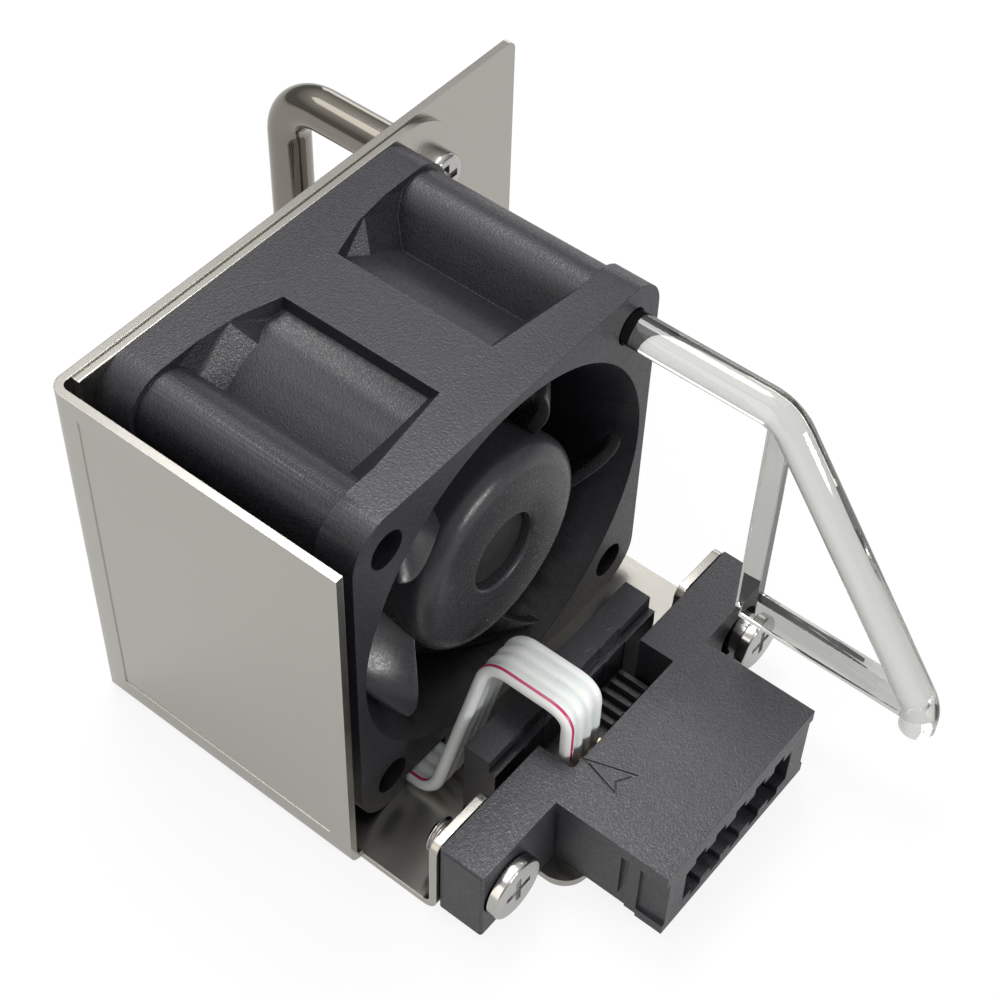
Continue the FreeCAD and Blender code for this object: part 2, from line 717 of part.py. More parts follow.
def tangent_path(points, bends):
    """The wire through hand-set points, each inner corner rounded by its own radius."""
    edges = []
    here = points[0]
    for i in range(1, len(points) - 1):
        a = (points[i - 1] - points[i]).normalize()
        b = (points[i + 1] - points[i]).normalize()
        half = a.getAngle(b) / 2
        reach = bends[i - 1] / tan(half)
        start = points[i] + a * reach
        end = points[i] + b * reach
        middle_dir = (a + b).normalize()
        centre = points[i] + middle_dir * (bends[i - 1] / sin(half))
        middle = centre - middle_dir * bends[i - 1]
        edges.append(Part.makeLine(here, start))
        edges.append(Part.Arc(start, middle, end).toShape())
        here = end
    edges.append(Part.makeLine(here, points[-1]))
    return Part.Wire(edges)


def handle():
    """Round bar bent to a D, standing on the faceplate's outer face."""
    (x, low), (x, high) = handle_places()
    out = FACE_OUT - HANDLE_REACH + HANDLE_R
    bar = swept_rod(
        HANDLE_R, [V(x, FACE_OUT, low), V(x, out, low), V(x, out, high), V(x, FACE_OUT, high)],
        [HANDLE_BEND, HANDLE_BEND],
    )
    for z in (low, high):
        bar = bar.cut(rod(HANDLE_THREAD_R, FACE_OUT - HANDLE_THREAD_LENGTH - OVER, FACE_OUT + OVER, x, z))
    return bar


def cross_recess(y, x, z, size, depth):
    """A cross-shaped driver recess, sunk from a head's front face at y."""
    arm = size * 0.22
    one = box((x - size, x + size), (y - depth, y + OVER), (z - arm, z + arm))
    two = box((x - arm, x + arm), (y - depth, y + OVER), (z - size, z + size))
    return one.fuse(two)


def handle_screws():
    """Pan-head screws that hold the handle from inside the module."""
    screws = []
    for x, z in handle_places():
        head = rod(PAN_R, FAN_REAR, FAN_REAR + PAN_H, x, z)
        head = rounded(head, PAN_ROUND, lambda c, e: c.y > FAN_REAR + PAN_H - 0.1 and e.Closed)
        head = head.cut(cross_recess(FAN_REAR + PAN_H, x, z, PAN_R * 0.62, CROSS_DEPTH))
        screws.append(head.fuse(rod(HANDLE_THREAD_R, FACE_OUT - HANDLE_THREAD_LENGTH, FAN_REAR, x, z)))
    return screws


def flat_head(x, z, play):
    """The cone of a flat head, seated in the sheets and grown by a clearance."""
    seat = FACE_OUT + FLAT_HEAD_SINK
    cone = Part.makeCone(
        FLAT_HEAD_R + play, FAN_SCREW_R + play, FLAT_HEAD_H, V(x, seat, z), Y_AXIS
    )
    return cone.fuse(rod(FLAT_HEAD_R + play, seat - play, seat, x, z)) if play else cone


def fan_screws():
    """Flat-head screws through both sheets into the fan's rear holes."""
    screws = []
    for x, z in fan_screw_places():
        recess = cross_recess(0, 0, 0, FLAT_HEAD_R * 0.55, 0.8)
        recess.rotate(V(0, 0, 0), Z_AXIS, 180)
        recess.translate(V(x, FACE_OUT + FLAT_HEAD_SINK, z))
        body = rod(FAN_SCREW_R, FACE_OUT + FLAT_HEAD_H, FAN_REAR + FAN_SCREW_LENGTH, x, z)
        screws.append(flat_head(x, z, 0).cut(recess).fuse(body))
    return screws


def light_pipe():
    """Clear pipe from the lens in the faceplate, through the fan's corner, down to its foot."""
    foot = V(PIPE_X, PIPE_END_Y, PIPE_END_Z)
    knee = V(PIPE_X, PIPE_END_Y, PIPE_END_Z + PIPE_DROP)
    points = [V(PIPE_X, FACE_OUT - 0.4, PIPE_Z), V(PIPE_X, PIPE_BEND_Y, PIPE_Z), knee, foot]
    pipe = swept_rod(PIPE_R, points, [PIPE_ELBOW, PIPE_ELBOW])
    across = (PIPE_X - STRUT_T / 2, PIPE_X + STRUT_T / 2)
    low = BRACE_Z - STRUT_DEPTH / 2
    post = box(across, (POST_REAR, POST_REAR + POST_DEPTH), (low, PIPE_Z - PIPE_R / 2))
    brace = box(across, (POST_REAR, PIPE_END_Y - PIPE_R / 2), (low, low + STRUT_DEPTH))
    ear_room = box(
        (across[0] - OVER, across[1] + OVER), (POST_REAR - OVER, EAR_FRONT + FOOT_GAP),
        (low - OVER, CONN_TOP + FOOT_GAP),
    )
    return fused([pipe, post, brace]).cut(ear_room)


def ear_slot(s):
    """Clearance slot for a shoulder screw, long enough for the connector's float."""
    half = SHOULDER_R + FLOAT_PLAY
    x = CONN_X + s * SCREW_HALF
    reach = FLOAT_TRAVEL + 0.1
    slot = box((x - reach, x + reach), (EAR_REAR - OVER, EAR_FRONT + OVER), (SCREW_Z - half, SCREW_Z + half))
    ends = [rod(half, EAR_REAR - OVER, EAR_FRONT + OVER, x + side * reach, SCREW_Z) for side in (-1, 1)]
    return fused([slot] + ends)


def side_detail(s):
    """Raised panel, rib and bottom ledge on one side of the connector's body."""
    body = MAIN_HALF - LID_LIP
    reach = MAIN_FRONT - EAR_FRONT
    panel_end = EAR_FRONT + 0.59 * reach
    rib = (EAR_FRONT + 0.66 * reach, EAR_FRONT + 0.76 * reach)
    low = CONN_BOTTOM + LEDGE_T
    high = CONN_TOP - LID_T
    pieces = [
        box((body - OVER, body + PANEL_T), (EAR_FRONT + 0.4, panel_end), (low + 0.5, high - 0.3)),
        box((body - OVER, body + PANEL_T), rib, (low - 0.8, high)),
        box((body - OVER, MAIN_HALF - 0.15), (rib[1], MAIN_FRONT), (CONN_BOTTOM, low)),
    ]
    shape = fused(pieces)
    if s < 0:
        shape = shape.mirror(V(0, 0, 0), X_AXIS)
    shape.translate(V(CONN_X, 0, 0))
    return shape


def connector_windows():
    """Small contact windows along the top and bottom edges of the socket."""
    cuts = []
    low = SOCKET_LOW
    high = SOCKET_LOW + SOCKET_HEIGHT
    for i in range(WINDOW_COUNT):
        x = CONN_X + (i - (WINDOW_COUNT - 1) / 2) * WINDOW_PITCH
        for z0, z1 in ((high - 0.1, high + 0.9), (low - 0.9, low + 0.1)):
            cuts.append(box((x - 0.75, x + 0.75), (MAIN_FRONT - 3.0, MAIN_FRONT + OVER), (z0, z1)))
    return cuts


def arrow_mark():
    """Shallow arrow on the lid that points to the ribbon's first conductor."""
    tip_y = EAR_REAR + 3.6
    z = CONN_TOP - MARK_DEPTH
    points = [
        V(6.7, tip_y, z), V(8.0, tip_y + 4.8, z), V(6.85, tip_y + 3.9, z), V(5.0, tip_y + 5.0, z),
    ]
    return extrude(points, V(0, 0, OVER))


def connector_housing():
    """T-shaped moulding: two screw ears, lidded body and a blind-mate socket."""
    ears = box((CONN_X - EAR_HALF, CONN_X + EAR_HALF), (EAR_REAR, EAR_FRONT), (CONN_BOTTOM, CONN_TOP))
    ears = rounded(ears, 0.3, lambda c, e: abs(c.x - CONN_X) > EAR_HALF - 0.1 and c.z > CONN_BOTTOM + 0.1)
    body = box(
        (CONN_X - MAIN_HALF + LID_LIP, CONN_X + MAIN_HALF - LID_LIP), (EAR_FRONT, MAIN_FRONT),
        (CONN_BOTTOM, CONN_TOP - LID_T),
    )
    lid = box(
        (CONN_X - MAIN_HALF, CONN_X + MAIN_HALF), (EAR_FRONT - OVER, MAIN_FRONT),
        (CONN_TOP - LID_T, CONN_TOP),
    )
    housing = fused([ears, body, lid, side_detail(-1), side_detail(1)])
    notch = box(
        (CONN_X - NOTCH_HALF, CONN_X + NOTCH_HALF), (EAR_REAR - OVER, EAR_REAR + NOTCH_DEPTH),
        (NOTCH_FLOOR, CONN_TOP + OVER),
    )
    socket = box(
        (CONN_X - SOCKET_HALF, CONN_X + SOCKET_HALF), (MAIN_FRONT - SOCKET_DEPTH, MAIN_FRONT + OVER),
        (SOCKET_LOW, SOCKET_LOW + SOCKET_HEIGHT),
    )
    for cut in [notch, socket, ear_slot(-1), ear_slot(1), arrow_mark()] + connector_windows():
        housing = housing.cut(cut)
    for x in contact_places():
        housing = housing.cut(contact_room(x))
    return housing


def contact_places():
    """X of each contact, in line with the ribbon's conductors."""
    return [RIBBON_X + (i - (WIRE_COUNT - 1) / 2) * CONTACT_PITCH for i in range(WIRE_COUNT)]


def contact_room(x):
    """The channel in the socket's roof that carries one contact forward from the notch."""
    half = CONTACT_T / 2
    level = SOCKET_LOW + SOCKET_HEIGHT
    return box(
        (x - half, x + half), (EAR_REAR + NOTCH_DEPTH - OVER, MAIN_FRONT - 1.8),
        (level - 0.01, level + CONTACT_T),
    )


def contacts():
    """Stepped contacts: a foot below each conductor, a riser, and an arm in the socket's roof."""
    half = CONTACT_T / 2
    level = SOCKET_LOW + SOCKET_HEIGHT
    riser = RIBBON_DOWN_Y + WIRE_R + 0.06
    foot = RIBBON_END_Z - 0.05
    out = []
    for x in contact_places():
        side = (x - half, x + half)
        pieces = [
            box(side, (RIBBON_DOWN_Y - 0.5, riser + CONTACT_T), (CORE_TOP, foot)),
            box(side, (riser, riser + CONTACT_T), (CORE_TOP, level + CONTACT_T)),
            box(side, (riser, MAIN_FRONT - 2.0), (level, level + CONTACT_T)),
        ]
        out.append(fused(pieces))
    return out


def wire_retainer():
    """Rear block with a scalloped edge, and the core that reaches into the housing."""
    front = RETAINER_REAR + RETAINER_T
    block = box(
        (CONN_X - RETAINER_HALF, CONN_X + RETAINER_HALF), (RETAINER_REAR, front),
        (SHEET + 0.15, RETAINER_TOP),
    )
    core = box(
        (CONN_X - CORE_HALF, CONN_X + CORE_HALF), (front - OVER, EAR_REAR + NOTCH_DEPTH - 0.1),
        (NOTCH_FLOOR + 0.1, CORE_TOP),
    )
    holder = fused([block, core])
    step = box(
        (CONN_X - RETAINER_HALF - OVER, CONN_X + RETAINER_HALF + OVER), (front - 0.7, front + OVER),
        (RETAINER_TOP - 1.6, RETAINER_TOP + OVER),
    )
    holder = holder.cut(step)
    for i in range(WINDOW_COUNT):
        x = CONN_X + (i - (WINDOW_COUNT - 1) / 2) * WINDOW_PITCH
        scallop = Part.makeCylinder(SCALLOP_R, RETAINER_TOP, V(x, front - 0.3, CORE_TOP), Z_AXIS)
        holder = holder.cut(scallop)
    return holder


def shoulder_screws():
    """Cheese-head shoulder screws: one driven home, its twin backed off a little."""
    screws = []
    for s, back in ((-1, RIGHT_SCREW_BACK), (1, 0.0)):
        x = CONN_X + s * SCREW_HALF
        face = HEAD_REAR + HEAD_H
        head = rod(HEAD_R, HEAD_REAR, face, x, SCREW_Z)
        head = rounded(head, 0.25, lambda c, e: c.y > face - 0.1 and e.Closed)
        head = head.cut(cross_recess(face, x, SCREW_Z, HEAD_R * 0.55, 0.8))
        shoulder = rod(SHOULDER_R, FLANGE_FACE, HEAD_REAR, x, SCREW_Z)
        thread = rod(THREAD_R, FLANGE_FACE - THREAD_LENGTH, FLANGE_FACE, x, SCREW_Z)
        screw = fused([head, shoulder, thread])
        screw.translate(V(0, back, 0))
        screws.append(screw)
    return screws


def clinch_nuts():
    nuts = []
    for s in (-1, 1):
        x = CONN_X + s * SCREW_HALF
        rear = FLANGE_FACE - SHEET - NUT_T
        nuts.append(ring(NUT_R, THREAD_R, rear, FLANGE_FACE - SHEET, x, SCREW_Z))
    return nuts


def ribbon_points():
    """The ribbon's route: from the motor board, along the base plate, up, over and down."""
    lie = SHEET + WIRE_R + 0.06
    board = BASE_FRONT_Y + BOARD_T + WIRE_R + 0.06
    return [
        V(5.6, board, AXIS_Z - 9.6),
        V(RIBBON_EXIT_X, board, lie),
        V(RIBBON_EXIT_X, RIBBON_RISE_Y, lie),
        V(RIBBON_X, RIBBON_BACK_Y, RIBBON_TOP),
        V(RIBBON_X, RIBBON_DOWN_Y, RIBBON_TOP),
        V(RIBBON_X, RIBBON_DOWN_Y, RIBBON_END_Z),
    ]


def ribbon_bends(points):
    """Bend radii: eased to the shorter run inside the fan, tight folds where it stands free."""
    radii = []
    for i in range(1, len(points) - 1):
        a = points[i - 1] - points[i]
        b = points[i + 1] - points[i]
        half_turn = (pi - a.getAngle(b)) / 2
        eased = 0.45 * min(a.Length, b.Length) / tan(half_turn)
        radii.append(eased if i == 1 else min(eased, FOLD_RADII[i - 2]))
    return radii


def ribbon_cable():
    """Four round conductors swept side by side and joined into one flat cable."""
    points = ribbon_points()
    bends = ribbon_bends(points)
    print("ribbon bend radii", [round(b, 2) for b in bends])
    wires = []
    for i in range(WIRE_COUNT):
        shift = V((i - (WIRE_COUNT - 1) / 2) * WIRE_PITCH, 0, 0)
        wires.append(swept_rod(WIRE_R, [p + shift for p in points], bends))
    length = tangent_path(points, bends).Length
    print("ribbon length", round(length, 2), "volume", [round(w.Volume, 1) for w in wires])
    cable = wires[0]
    for wire in wires[1:]:
        cable = cable.fuse(wire)
    print("ribbon solids", len(cable.Solids), "valid", cable.isValid())
    return cable


os.makedirs("parts", exist_ok=True)
save("bracket", bracket())
save("backing_plate", backing_plate())
save("handle", handle())
save("handle_screws", handle_screws())
save("fan_screws", fan_screws())
save("light_pipe", light_pipe())
save("fan_frame", fan_frame())
save("impeller", impeller())
save("rotor_cup", rotor_cup())
save("rotor_magnet", rotor_magnet())
save("rotor_bush", rotor_bush())
save("shaft", shaft())
save("retaining_ring", retaining_ring())
save("bearing_outer_rings", [bearing_outer(y) for y in BEARING_SPOTS])
save("bearing_inner_rings", [bearing_inner(y) for y in BEARING_SPOTS])
save("bearing_balls", [ball for y in BEARING_SPOTS for ball in bearing_balls(y)])
save("preload_washer", preload_washer())
save("bearing_tube", bearing_tube())
save("stator_core", stator_core())
save("stator_insulators", stator_insulators())
save("stator_coils", stator_coils())
save("motor_board", motor_board())
save("board_parts", board_parts())
save("connector_housing", connector_housing())
save("contacts", contacts())
save("wire_retainer", wire_retainer())
save("shoulder_screws", shoulder_screws())
save("clinch_nuts", clinch_nuts())
save("ribbon_cable", ribbon_cable())
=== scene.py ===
import math

import bmesh
import bpy
from mathutils import Matrix, Vector


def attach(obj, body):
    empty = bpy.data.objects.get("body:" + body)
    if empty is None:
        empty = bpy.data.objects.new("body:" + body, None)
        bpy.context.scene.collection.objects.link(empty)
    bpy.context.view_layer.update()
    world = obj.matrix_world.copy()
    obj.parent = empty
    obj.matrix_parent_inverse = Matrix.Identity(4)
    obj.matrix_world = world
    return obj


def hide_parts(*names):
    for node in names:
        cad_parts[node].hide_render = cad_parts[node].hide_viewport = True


bl_info = {
    "name": "Fan module",
    "version": (1, 0, 0),
    "blender": (4, 5, 0),
    "location": "3D View > Sidebar > Fan module",
    "description": "Builds a fan module: fan, sheet bracket, handle, light pipe and floating connector",
    "category": "Add Mesh",
}

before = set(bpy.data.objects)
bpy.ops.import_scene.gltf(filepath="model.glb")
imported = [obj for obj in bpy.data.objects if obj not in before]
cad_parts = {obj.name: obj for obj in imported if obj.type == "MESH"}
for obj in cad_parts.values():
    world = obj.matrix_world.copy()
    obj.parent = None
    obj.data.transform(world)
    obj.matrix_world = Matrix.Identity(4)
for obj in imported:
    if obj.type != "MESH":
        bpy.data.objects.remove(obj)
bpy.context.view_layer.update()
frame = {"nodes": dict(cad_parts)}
MM = 0.001
# Height of the fan's axis, in millimetres, and a point on it, in metres
FAN_MIDDLE = 20.8
AXIS = Vector((0.0, 0.0, FAN_MIDDLE * MM))
# Points nearer than this are made one, in metres
MERGE = 1e-6
# Edges sharper than this stay edges, in degrees
CREASE = 28.0
# A Mix node's sockets for its two colours, which share their names with others
FIRST, SECOND = 6, 7


# Colours and shader nodes

def linear(code):
    """An sRGB hex colour as linear red, green, blue and alpha."""
    out = []
    for i in (1, 3, 5):
        c = int(code[i:i + 2], 16) / 255.0
        out.append(c / 12.92 if c <= 0.04045 else ((c + 0.055) / 1.055) ** 2.4)
    return (*out, 1.0)


def shade(colour, factor):
    """A colour made darker or paler by a factor."""
    return (*(min(1.0, c * factor) for c in colour[:3]), 1.0)


def add(tree, kind, settings=None, links=None):
    """A node of any kind. Settings name attributes or input sockets, links map an input to an output."""
    made = tree.nodes.new(kind)
    for name, value in (settings or {}).items():
        if isinstance(name, int) or name in made.inputs:
            made.inputs[name].default_value = value
        else:
            setattr(made, name, value)
    for name, source in (links or {}).items():
        tree.links.new(source, made.inputs[name])
    return made


def new_material(name):
    """A new material and its node tree, still empty."""
    made = bpy.data.materials.new(name)
    made.use_nodes = True
    made.node_tree.nodes.clear()
    return made, made.node_tree


def finished(material, shader):
    """The material with the shader on its output."""
    add(material.node_tree, "ShaderNodeOutputMaterial", links={"Surface": shader.outputs[0]})
    return material


def moulded_plastic(name, colour, rough, grain_mm, depth, fleck=0.3, specular=0.5):
    """Thermoplastic moulded in a spark-eroded tool, such as glass-filled PBT or nylon.

    The tool leaves a fine uneven grain all over it, 0.1 to 0.2 mm across, which just shows at this size.
    To the eye it is a sparkle on a satin skin, paler in spots where glass fibres lie near the surface.
    The relief carries the grain, and the pits change only its colour and gloss.
    """
    made, tree = new_material(name)
    where = add(tree, "ShaderNodeTexCoord")
    spots = {"Vector": where.outputs["Object"]}
    pits = add(tree, "ShaderNodeTexVoronoi", {"Scale": 1.0 / (grain_mm * MM)}, spots)
    flow = add(tree, "ShaderNodeTexNoise", {"Scale": 1 / (9.0 * MM), "Detail": 3.0}, spots)
    relief = add(tree, "ShaderNodeTexNoise", {"Scale": 0.8 / (grain_mm * MM), "Detail": 1.0}, spots)
    one = add(tree, "ShaderNodeSeparateXYZ", links={0: pits.outputs["Color"]})
    both = add(
        tree, "ShaderNodeMath", {"operation": "MULTIPLY_ADD", 1: 0.8},
        {0: flow.outputs["Fac"], 2: one.outputs[0]},
    )
    share = add(
        tree, "ShaderNodeMapRange", {"From Min": 0.3, "From Max": 1.5}, {"Value": both.outputs[0]}
    )
    tone = add(
        tree, "ShaderNodeMix",
        {"data_type": "RGBA", FIRST: shade(colour, 1 - fleck), SECOND: shade(colour, 1 + fleck)},
        {"Factor": share.outputs[0]},
    )
    gloss = add(
        tree, "ShaderNodeMapRange", {"To Min": rough - 0.08, "To Max": rough + 0.08},
        {"Value": one.outputs[1]},
    )
    soft = add(tree, "ShaderNodeBevel", {"samples": 4, "Radius": 0.1 * MM})
    bump = add(
        tree, "ShaderNodeBump", {"Strength": depth, "Distance": 0.16 * grain_mm * MM},
        {"Height": relief.outputs["Fac"], "Normal": soft.outputs[0]},
    )
    shader = add(
        tree, "ShaderNodeBsdfPrincipled", {"Specular IOR Level": specular},
        {"Base Color": tone.outputs[2], "Roughness": gloss.outputs[0], "Normal": bump.outputs[0]},
    )
    return finished(made, shader)


def sheet_steel(name, colour, rough):
    """Cold-rolled stainless sheet in a 2B finish, sheared and bent.

    To the eye it is an even satin grey. The rolling lines are about 0.05 mm apart and are drawn 0.2 mm
    apart here, or they wouldn't show. Its rounded edges are painted paler: a painted highlight where the
    edges catch the light, which also stands for the burnish that the punch leaves on sheared edges.
    """
    made, tree = new_material(name)
    where = add(tree, "ShaderNodeTexCoord")
    turn = add(
        tree, "ShaderNodeMapping", {"Scale": (1 / (0.2 * MM), 1 / (5.0 * MM), 1 / (0.2 * MM))},
        {"Vector": where.outputs["Object"]},
    )
    lines = add(tree, "ShaderNodeTexNoise", {"Scale": 1.0, "Detail": 2.0}, {"Vector": turn.outputs[0]})
    cloud = add(
        tree, "ShaderNodeTexNoise", {"Scale": 1 / (9.0 * MM), "Detail": 2.0},
        {"Vector": where.outputs["Object"]},
    )
    mixed = add(
        tree, "ShaderNodeMath", {"operation": "MULTIPLY_ADD", 1: 0.35},
        {0: lines.outputs["Fac"], 2: cloud.outputs["Fac"]},
    )
    gloss = add(
        tree, "ShaderNodeMapRange",
        {"From Min": 0.4, "From Max": 1.0, "To Min": rough - 0.02, "To Max": rough + 0.03},
        {"Value": mixed.outputs[0]},
    )
    soft = add(tree, "ShaderNodeBevel", {"samples": 4, "Radius": 0.1 * MM})
    flat = add(tree, "ShaderNodeNewGeometry")
    even = add(
        tree, "ShaderNodeVectorMath", {"operation": "DOT_PRODUCT"},
        {0: soft.outputs[0], 1: flat.outputs["Normal"]},
    )
    # Edges are painted paler in colour: a painted highlight, partly the burnish of the shear
    edge_highlight_and_burnish = add(
        tree, "ShaderNodeMapRange", {"From Min": 0.995, "From Max": 0.93}, {"Value": even.outputs["Value"]}
    )
    tone = add(
        tree, "ShaderNodeMix", {"data_type": "RGBA", FIRST: colour, SECOND: shade(colour, 1.35)},
        {"Factor": edge_highlight_and_burnish.outputs[0]},
    )
    bump = add(
        tree, "ShaderNodeBump", {"Strength": 0.02, "Distance": 0.01 * MM},
        {"Height": lines.outputs["Fac"], "Normal": soft.outputs[0]},
    )
    shader = add(
        tree, "ShaderNodeBsdfPrincipled", {"Metallic": 1.0},
        {"Base Color": tone.outputs[2], "Roughness": gloss.outputs[0], "Normal": bump.outputs[0]},
    )
    return finished(made, shader)


def worked_metal(name, colour, rough):
    """Turned, ground, drawn or plated metal.

    To the eye its gloss is even, with faint clouds 2.5 mm wide where hands and tools have been.
    """
    made, tree = new_material(name)
    where = add(tree, "ShaderNodeTexCoord")
    cloud = add(
        tree, "ShaderNodeTexNoise", {"Scale": 1 / (2.5 * MM), "Detail": 3.0},
        {"Vector": where.outputs["Object"]},
    )
    gloss = add(
        tree, "ShaderNodeMapRange",
        {"From Min": 0.3, "From Max": 0.7, "To Min": max(0.02, rough - 0.03), "To Max": rough + 0.04},
        {"Value": cloud.outputs["Fac"]},
    )
    tone = add(
        tree, "ShaderNodeMix",
        {"data_type": "RGBA", FIRST: shade(colour, 0.94), SECOND: shade(colour, 1.06)},
        {"Factor": cloud.outputs["Fac"]},
    )
    soft = add(tree, "ShaderNodeBevel", {"samples": 4, "Radius": 0.06 * MM})
    shader = add(
        tree, "ShaderNodeBsdfPrincipled", {"Metallic": 1.0},
        {"Base Color": tone.outputs[2], "Roughness": gloss.outputs[0], "Normal": soft.outputs[0]},
    )
    return finished(made, shader)


def clear_acrylic(name):
    """Moulded acrylic.

    To the eye it is clear and polished, wavy over a few millimetres as mouldings are. It is painted
    grey-brown where the line of sight runs along its skin: painted shade for the dark reflections at its
    edges.
    """
    made, tree = new_material(name)
    where = add(tree, "ShaderNodeTexCoord")
    wave = add(
        tree, "ShaderNodeTexNoise", {"Scale": 1 / (3.0 * MM), "Detail": 1.0},
        {"Vector": where.outputs["Object"]},
    )
    bump = add(
        tree, "ShaderNodeBump", {"Strength": 0.12, "Distance": 0.1 * MM}, {"Height": wave.outputs["Fac"]}
    )
    # Painted shade: where the skin is seen edge-on, its colour turns grey-brown
    grazing_painted_shade = add(tree, "ShaderNodeLayerWeight", {"Blend": 0.5}, {"Normal": bump.outputs[0]})
    edge = add(
        tree, "ShaderNodeMapRange", {"From Min": 0.18, "From Max": 0.8}, {"Value": grazing_painted_shade.outputs["Facing"]}
    )
    tone = add(
        tree, "ShaderNodeMix",
        {"data_type": "RGBA", FIRST: linear("#E4E5E1"), SECOND: linear("#65625A")},
        {"Factor": edge.outputs[0]},
    )
    shader = add(
        tree, "ShaderNodeBsdfPrincipled", {"Roughness": 0.03, "IOR": 1.49, "Transmission Weight": 1.0},
        {"Base Color": tone.outputs[2], "Normal": bump.outputs[0]},
    )
    return finished(made, shader)


def ribbon_vinyl(name):
    """Extruded PVC insulation.

    To the eye it is milky, slightly glossy and a little see-through, with one printed stripe.
    """
    made, tree = new_material(name)
    where = add(tree, "ShaderNodeTexCoord")
    across = add(tree, "ShaderNodeSeparateXYZ", links={"Vector": where.outputs["UV"]})
    low = add(tree, "ShaderNodeMath", {"operation": "GREATER_THAN", 1: STRIPE[0]}, {0: across.outputs[0]})
    high = add(tree, "ShaderNodeMath", {"operation": "LESS_THAN", 1: STRIPE[1]}, {0: across.outputs[0]})
    band = add(tree, "ShaderNodeMath", {"operation": "MULTIPLY"}, {0: low.outputs[0], 1: high.outputs[0]})
    cloud = add(
        tree, "ShaderNodeTexNoise", {"Scale": 1 / (5.0 * MM), "Detail": 3.0},
        {"Vector": where.outputs["Object"]},
    )
    milk = add(
        tree, "ShaderNodeMix",
        {"data_type": "RGBA", FIRST: linear("#DDE1E0"), SECOND: linear("#ECEFEE")},
        {"Factor": cloud.outputs["Fac"]},
    )
    tone = add(
        tree, "ShaderNodeMix", {"data_type": "RGBA", SECOND: linear("#B8295F")},
        {"Factor": band.outputs[0], FIRST: milk.outputs[2]},
    )
    gloss = add(
        tree, "ShaderNodeMapRange", {"To Min": 0.28, "To Max": 0.42}, {"Value": cloud.outputs["Fac"]}
    )
    shader = add(
        tree, "ShaderNodeBsdfPrincipled",
        {"Subsurface Weight": 0.2, "Subsurface Scale": 0.6 * MM},
        {"Base Color": tone.outputs[2], "Roughness": gloss.outputs[0]},
    )
    return finished(made, shader)


# The flat cable, in millimetres: conductors side by side, the distance between them, their radius, half
# the thickness of the web that joins them, where the stripe starts and ends as a share of the way round,
# and the route of the cable's middle line
WIRES = 4
PITCH = 1.27
WIRE_R = 0.64
WEB = 0.30
STRIPE = (0.045, 0.062)
RIBBON_ROUTE = (
    (5.6, -9.2, 11.2),
    (11.4, -9.2, 1.5),
    (11.4, 2.1, 1.5),
    (11.4, 12.8, 1.5),
    (11.4, 16.6, 1.5),
    (9.7, 16.8, 5.1),
    (6.5, 17.1, 11.6),
    (4.9, 17.3, 15.05),
    (4.9, 21.7, 15.05),
    (4.9, 26.2, 15.05),
    (4.9, 26.2, 11.0),
    (4.9, 26.2, 6.6),
)


# Small forms that join the solids, in millimetres.
# Arrow mark on the connector's lid: where its tip is along Y, its corners as (x, beyond the tip), the
# point and the share that its filled middle shrinks to, and that middle's top and thickness
ARROW_TIP = 27.75
ARROW_CORNERS = ((6.7, 0.0), (8.0, 4.8), (6.85, 3.9), (5.0, 5.0))
ARROW_MIDDLE = (6.7, 3.2)
ARROW_FILL = 0.74
ARROW_TOP = 10.17
ARROW_THICK = 0.6
# Blocks that close most of the deep notches in the wire retainer's bar, by lowest and highest corner
RETAINER_FILL = (((-8.0, 21.0, 4.62), (9.3, 22.0, 10.42)), ((-8.0, 21.9, 4.62), (9.3, 22.7, 8.85)))
# Steep facet at the rear end of the frame's top recess towards +X: its upper corners, its lower ones as
# (x, z), how far it runs along Y for each step of X and Z, and where the wedge behind it ends
RAMP_TOP = ((8.4, -9.5, 40.6), (12.9, -9.78, 38.54), (4.4, -8.6, 38.7))
RAMP_FOOT = ((6.9, 37.85), (10.5, 35.9), (12.9, 35.2))
RAMP_RUN = (-0.315, -0.551)
RAMP_REAR = -10.6


# Meshes

def opened(mesh):
    """A mesh's faces, free to edit."""
    work = bmesh.new()
    work.from_mesh(mesh)
    return work


def stored(work, mesh):
    """The edited faces put into a mesh."""
    work.to_mesh(mesh)
    work.free()
    return mesh


def nurbs_line(name, points):
    """A smooth spline with the route's points as its control points, as a row of points in metres."""
    curve = bpy.data.curves.new(name, "CURVE")
    curve.dimensions = "3D"
    curve.resolution_u = 14
    spline = curve.splines.new("NURBS")
    spline.points.add(len(points) - 1)
    for spot, p in zip(spline.points, points):
        spot.co = (p[0] * MM, p[1] * MM, p[2] * MM, 1.0)
    spline.order_u = 3
    spline.use_endpoint_u = True
    holder = loose(name, curve)
    seen = bpy.context.evaluated_depsgraph_get()
    mesh = bpy.data.meshes.new_from_object(holder.evaluated_get(seen))
    line = [v.co.copy() for v in mesh.vertices]
    bpy.data.meshes.remove(mesh)
    bpy.data.objects.remove(holder)
    bpy.data.curves.remove(curve)
    return line


def ribbon_section():
    """Outline of the flat cable as (across, up) in millimetres, the way round from its striped edge."""
    half = (WIRES - 1) * PITCH / 2
    top = []
    for i in range(WIRES):
        middle = half - i * PITCH
        for k in range(13):
            angle = math.pi * k / 12
            x, y = middle + WIRE_R * math.cos(angle), WIRE_R * math.sin(angle)
            outer = (i == 0 and k < 7) or (i == WIRES - 1 and k > 5)
            top.append((x, y if outer else max(y, WEB)))
    return top + [(x, -y) for x, y in reversed(top[1:-1])]


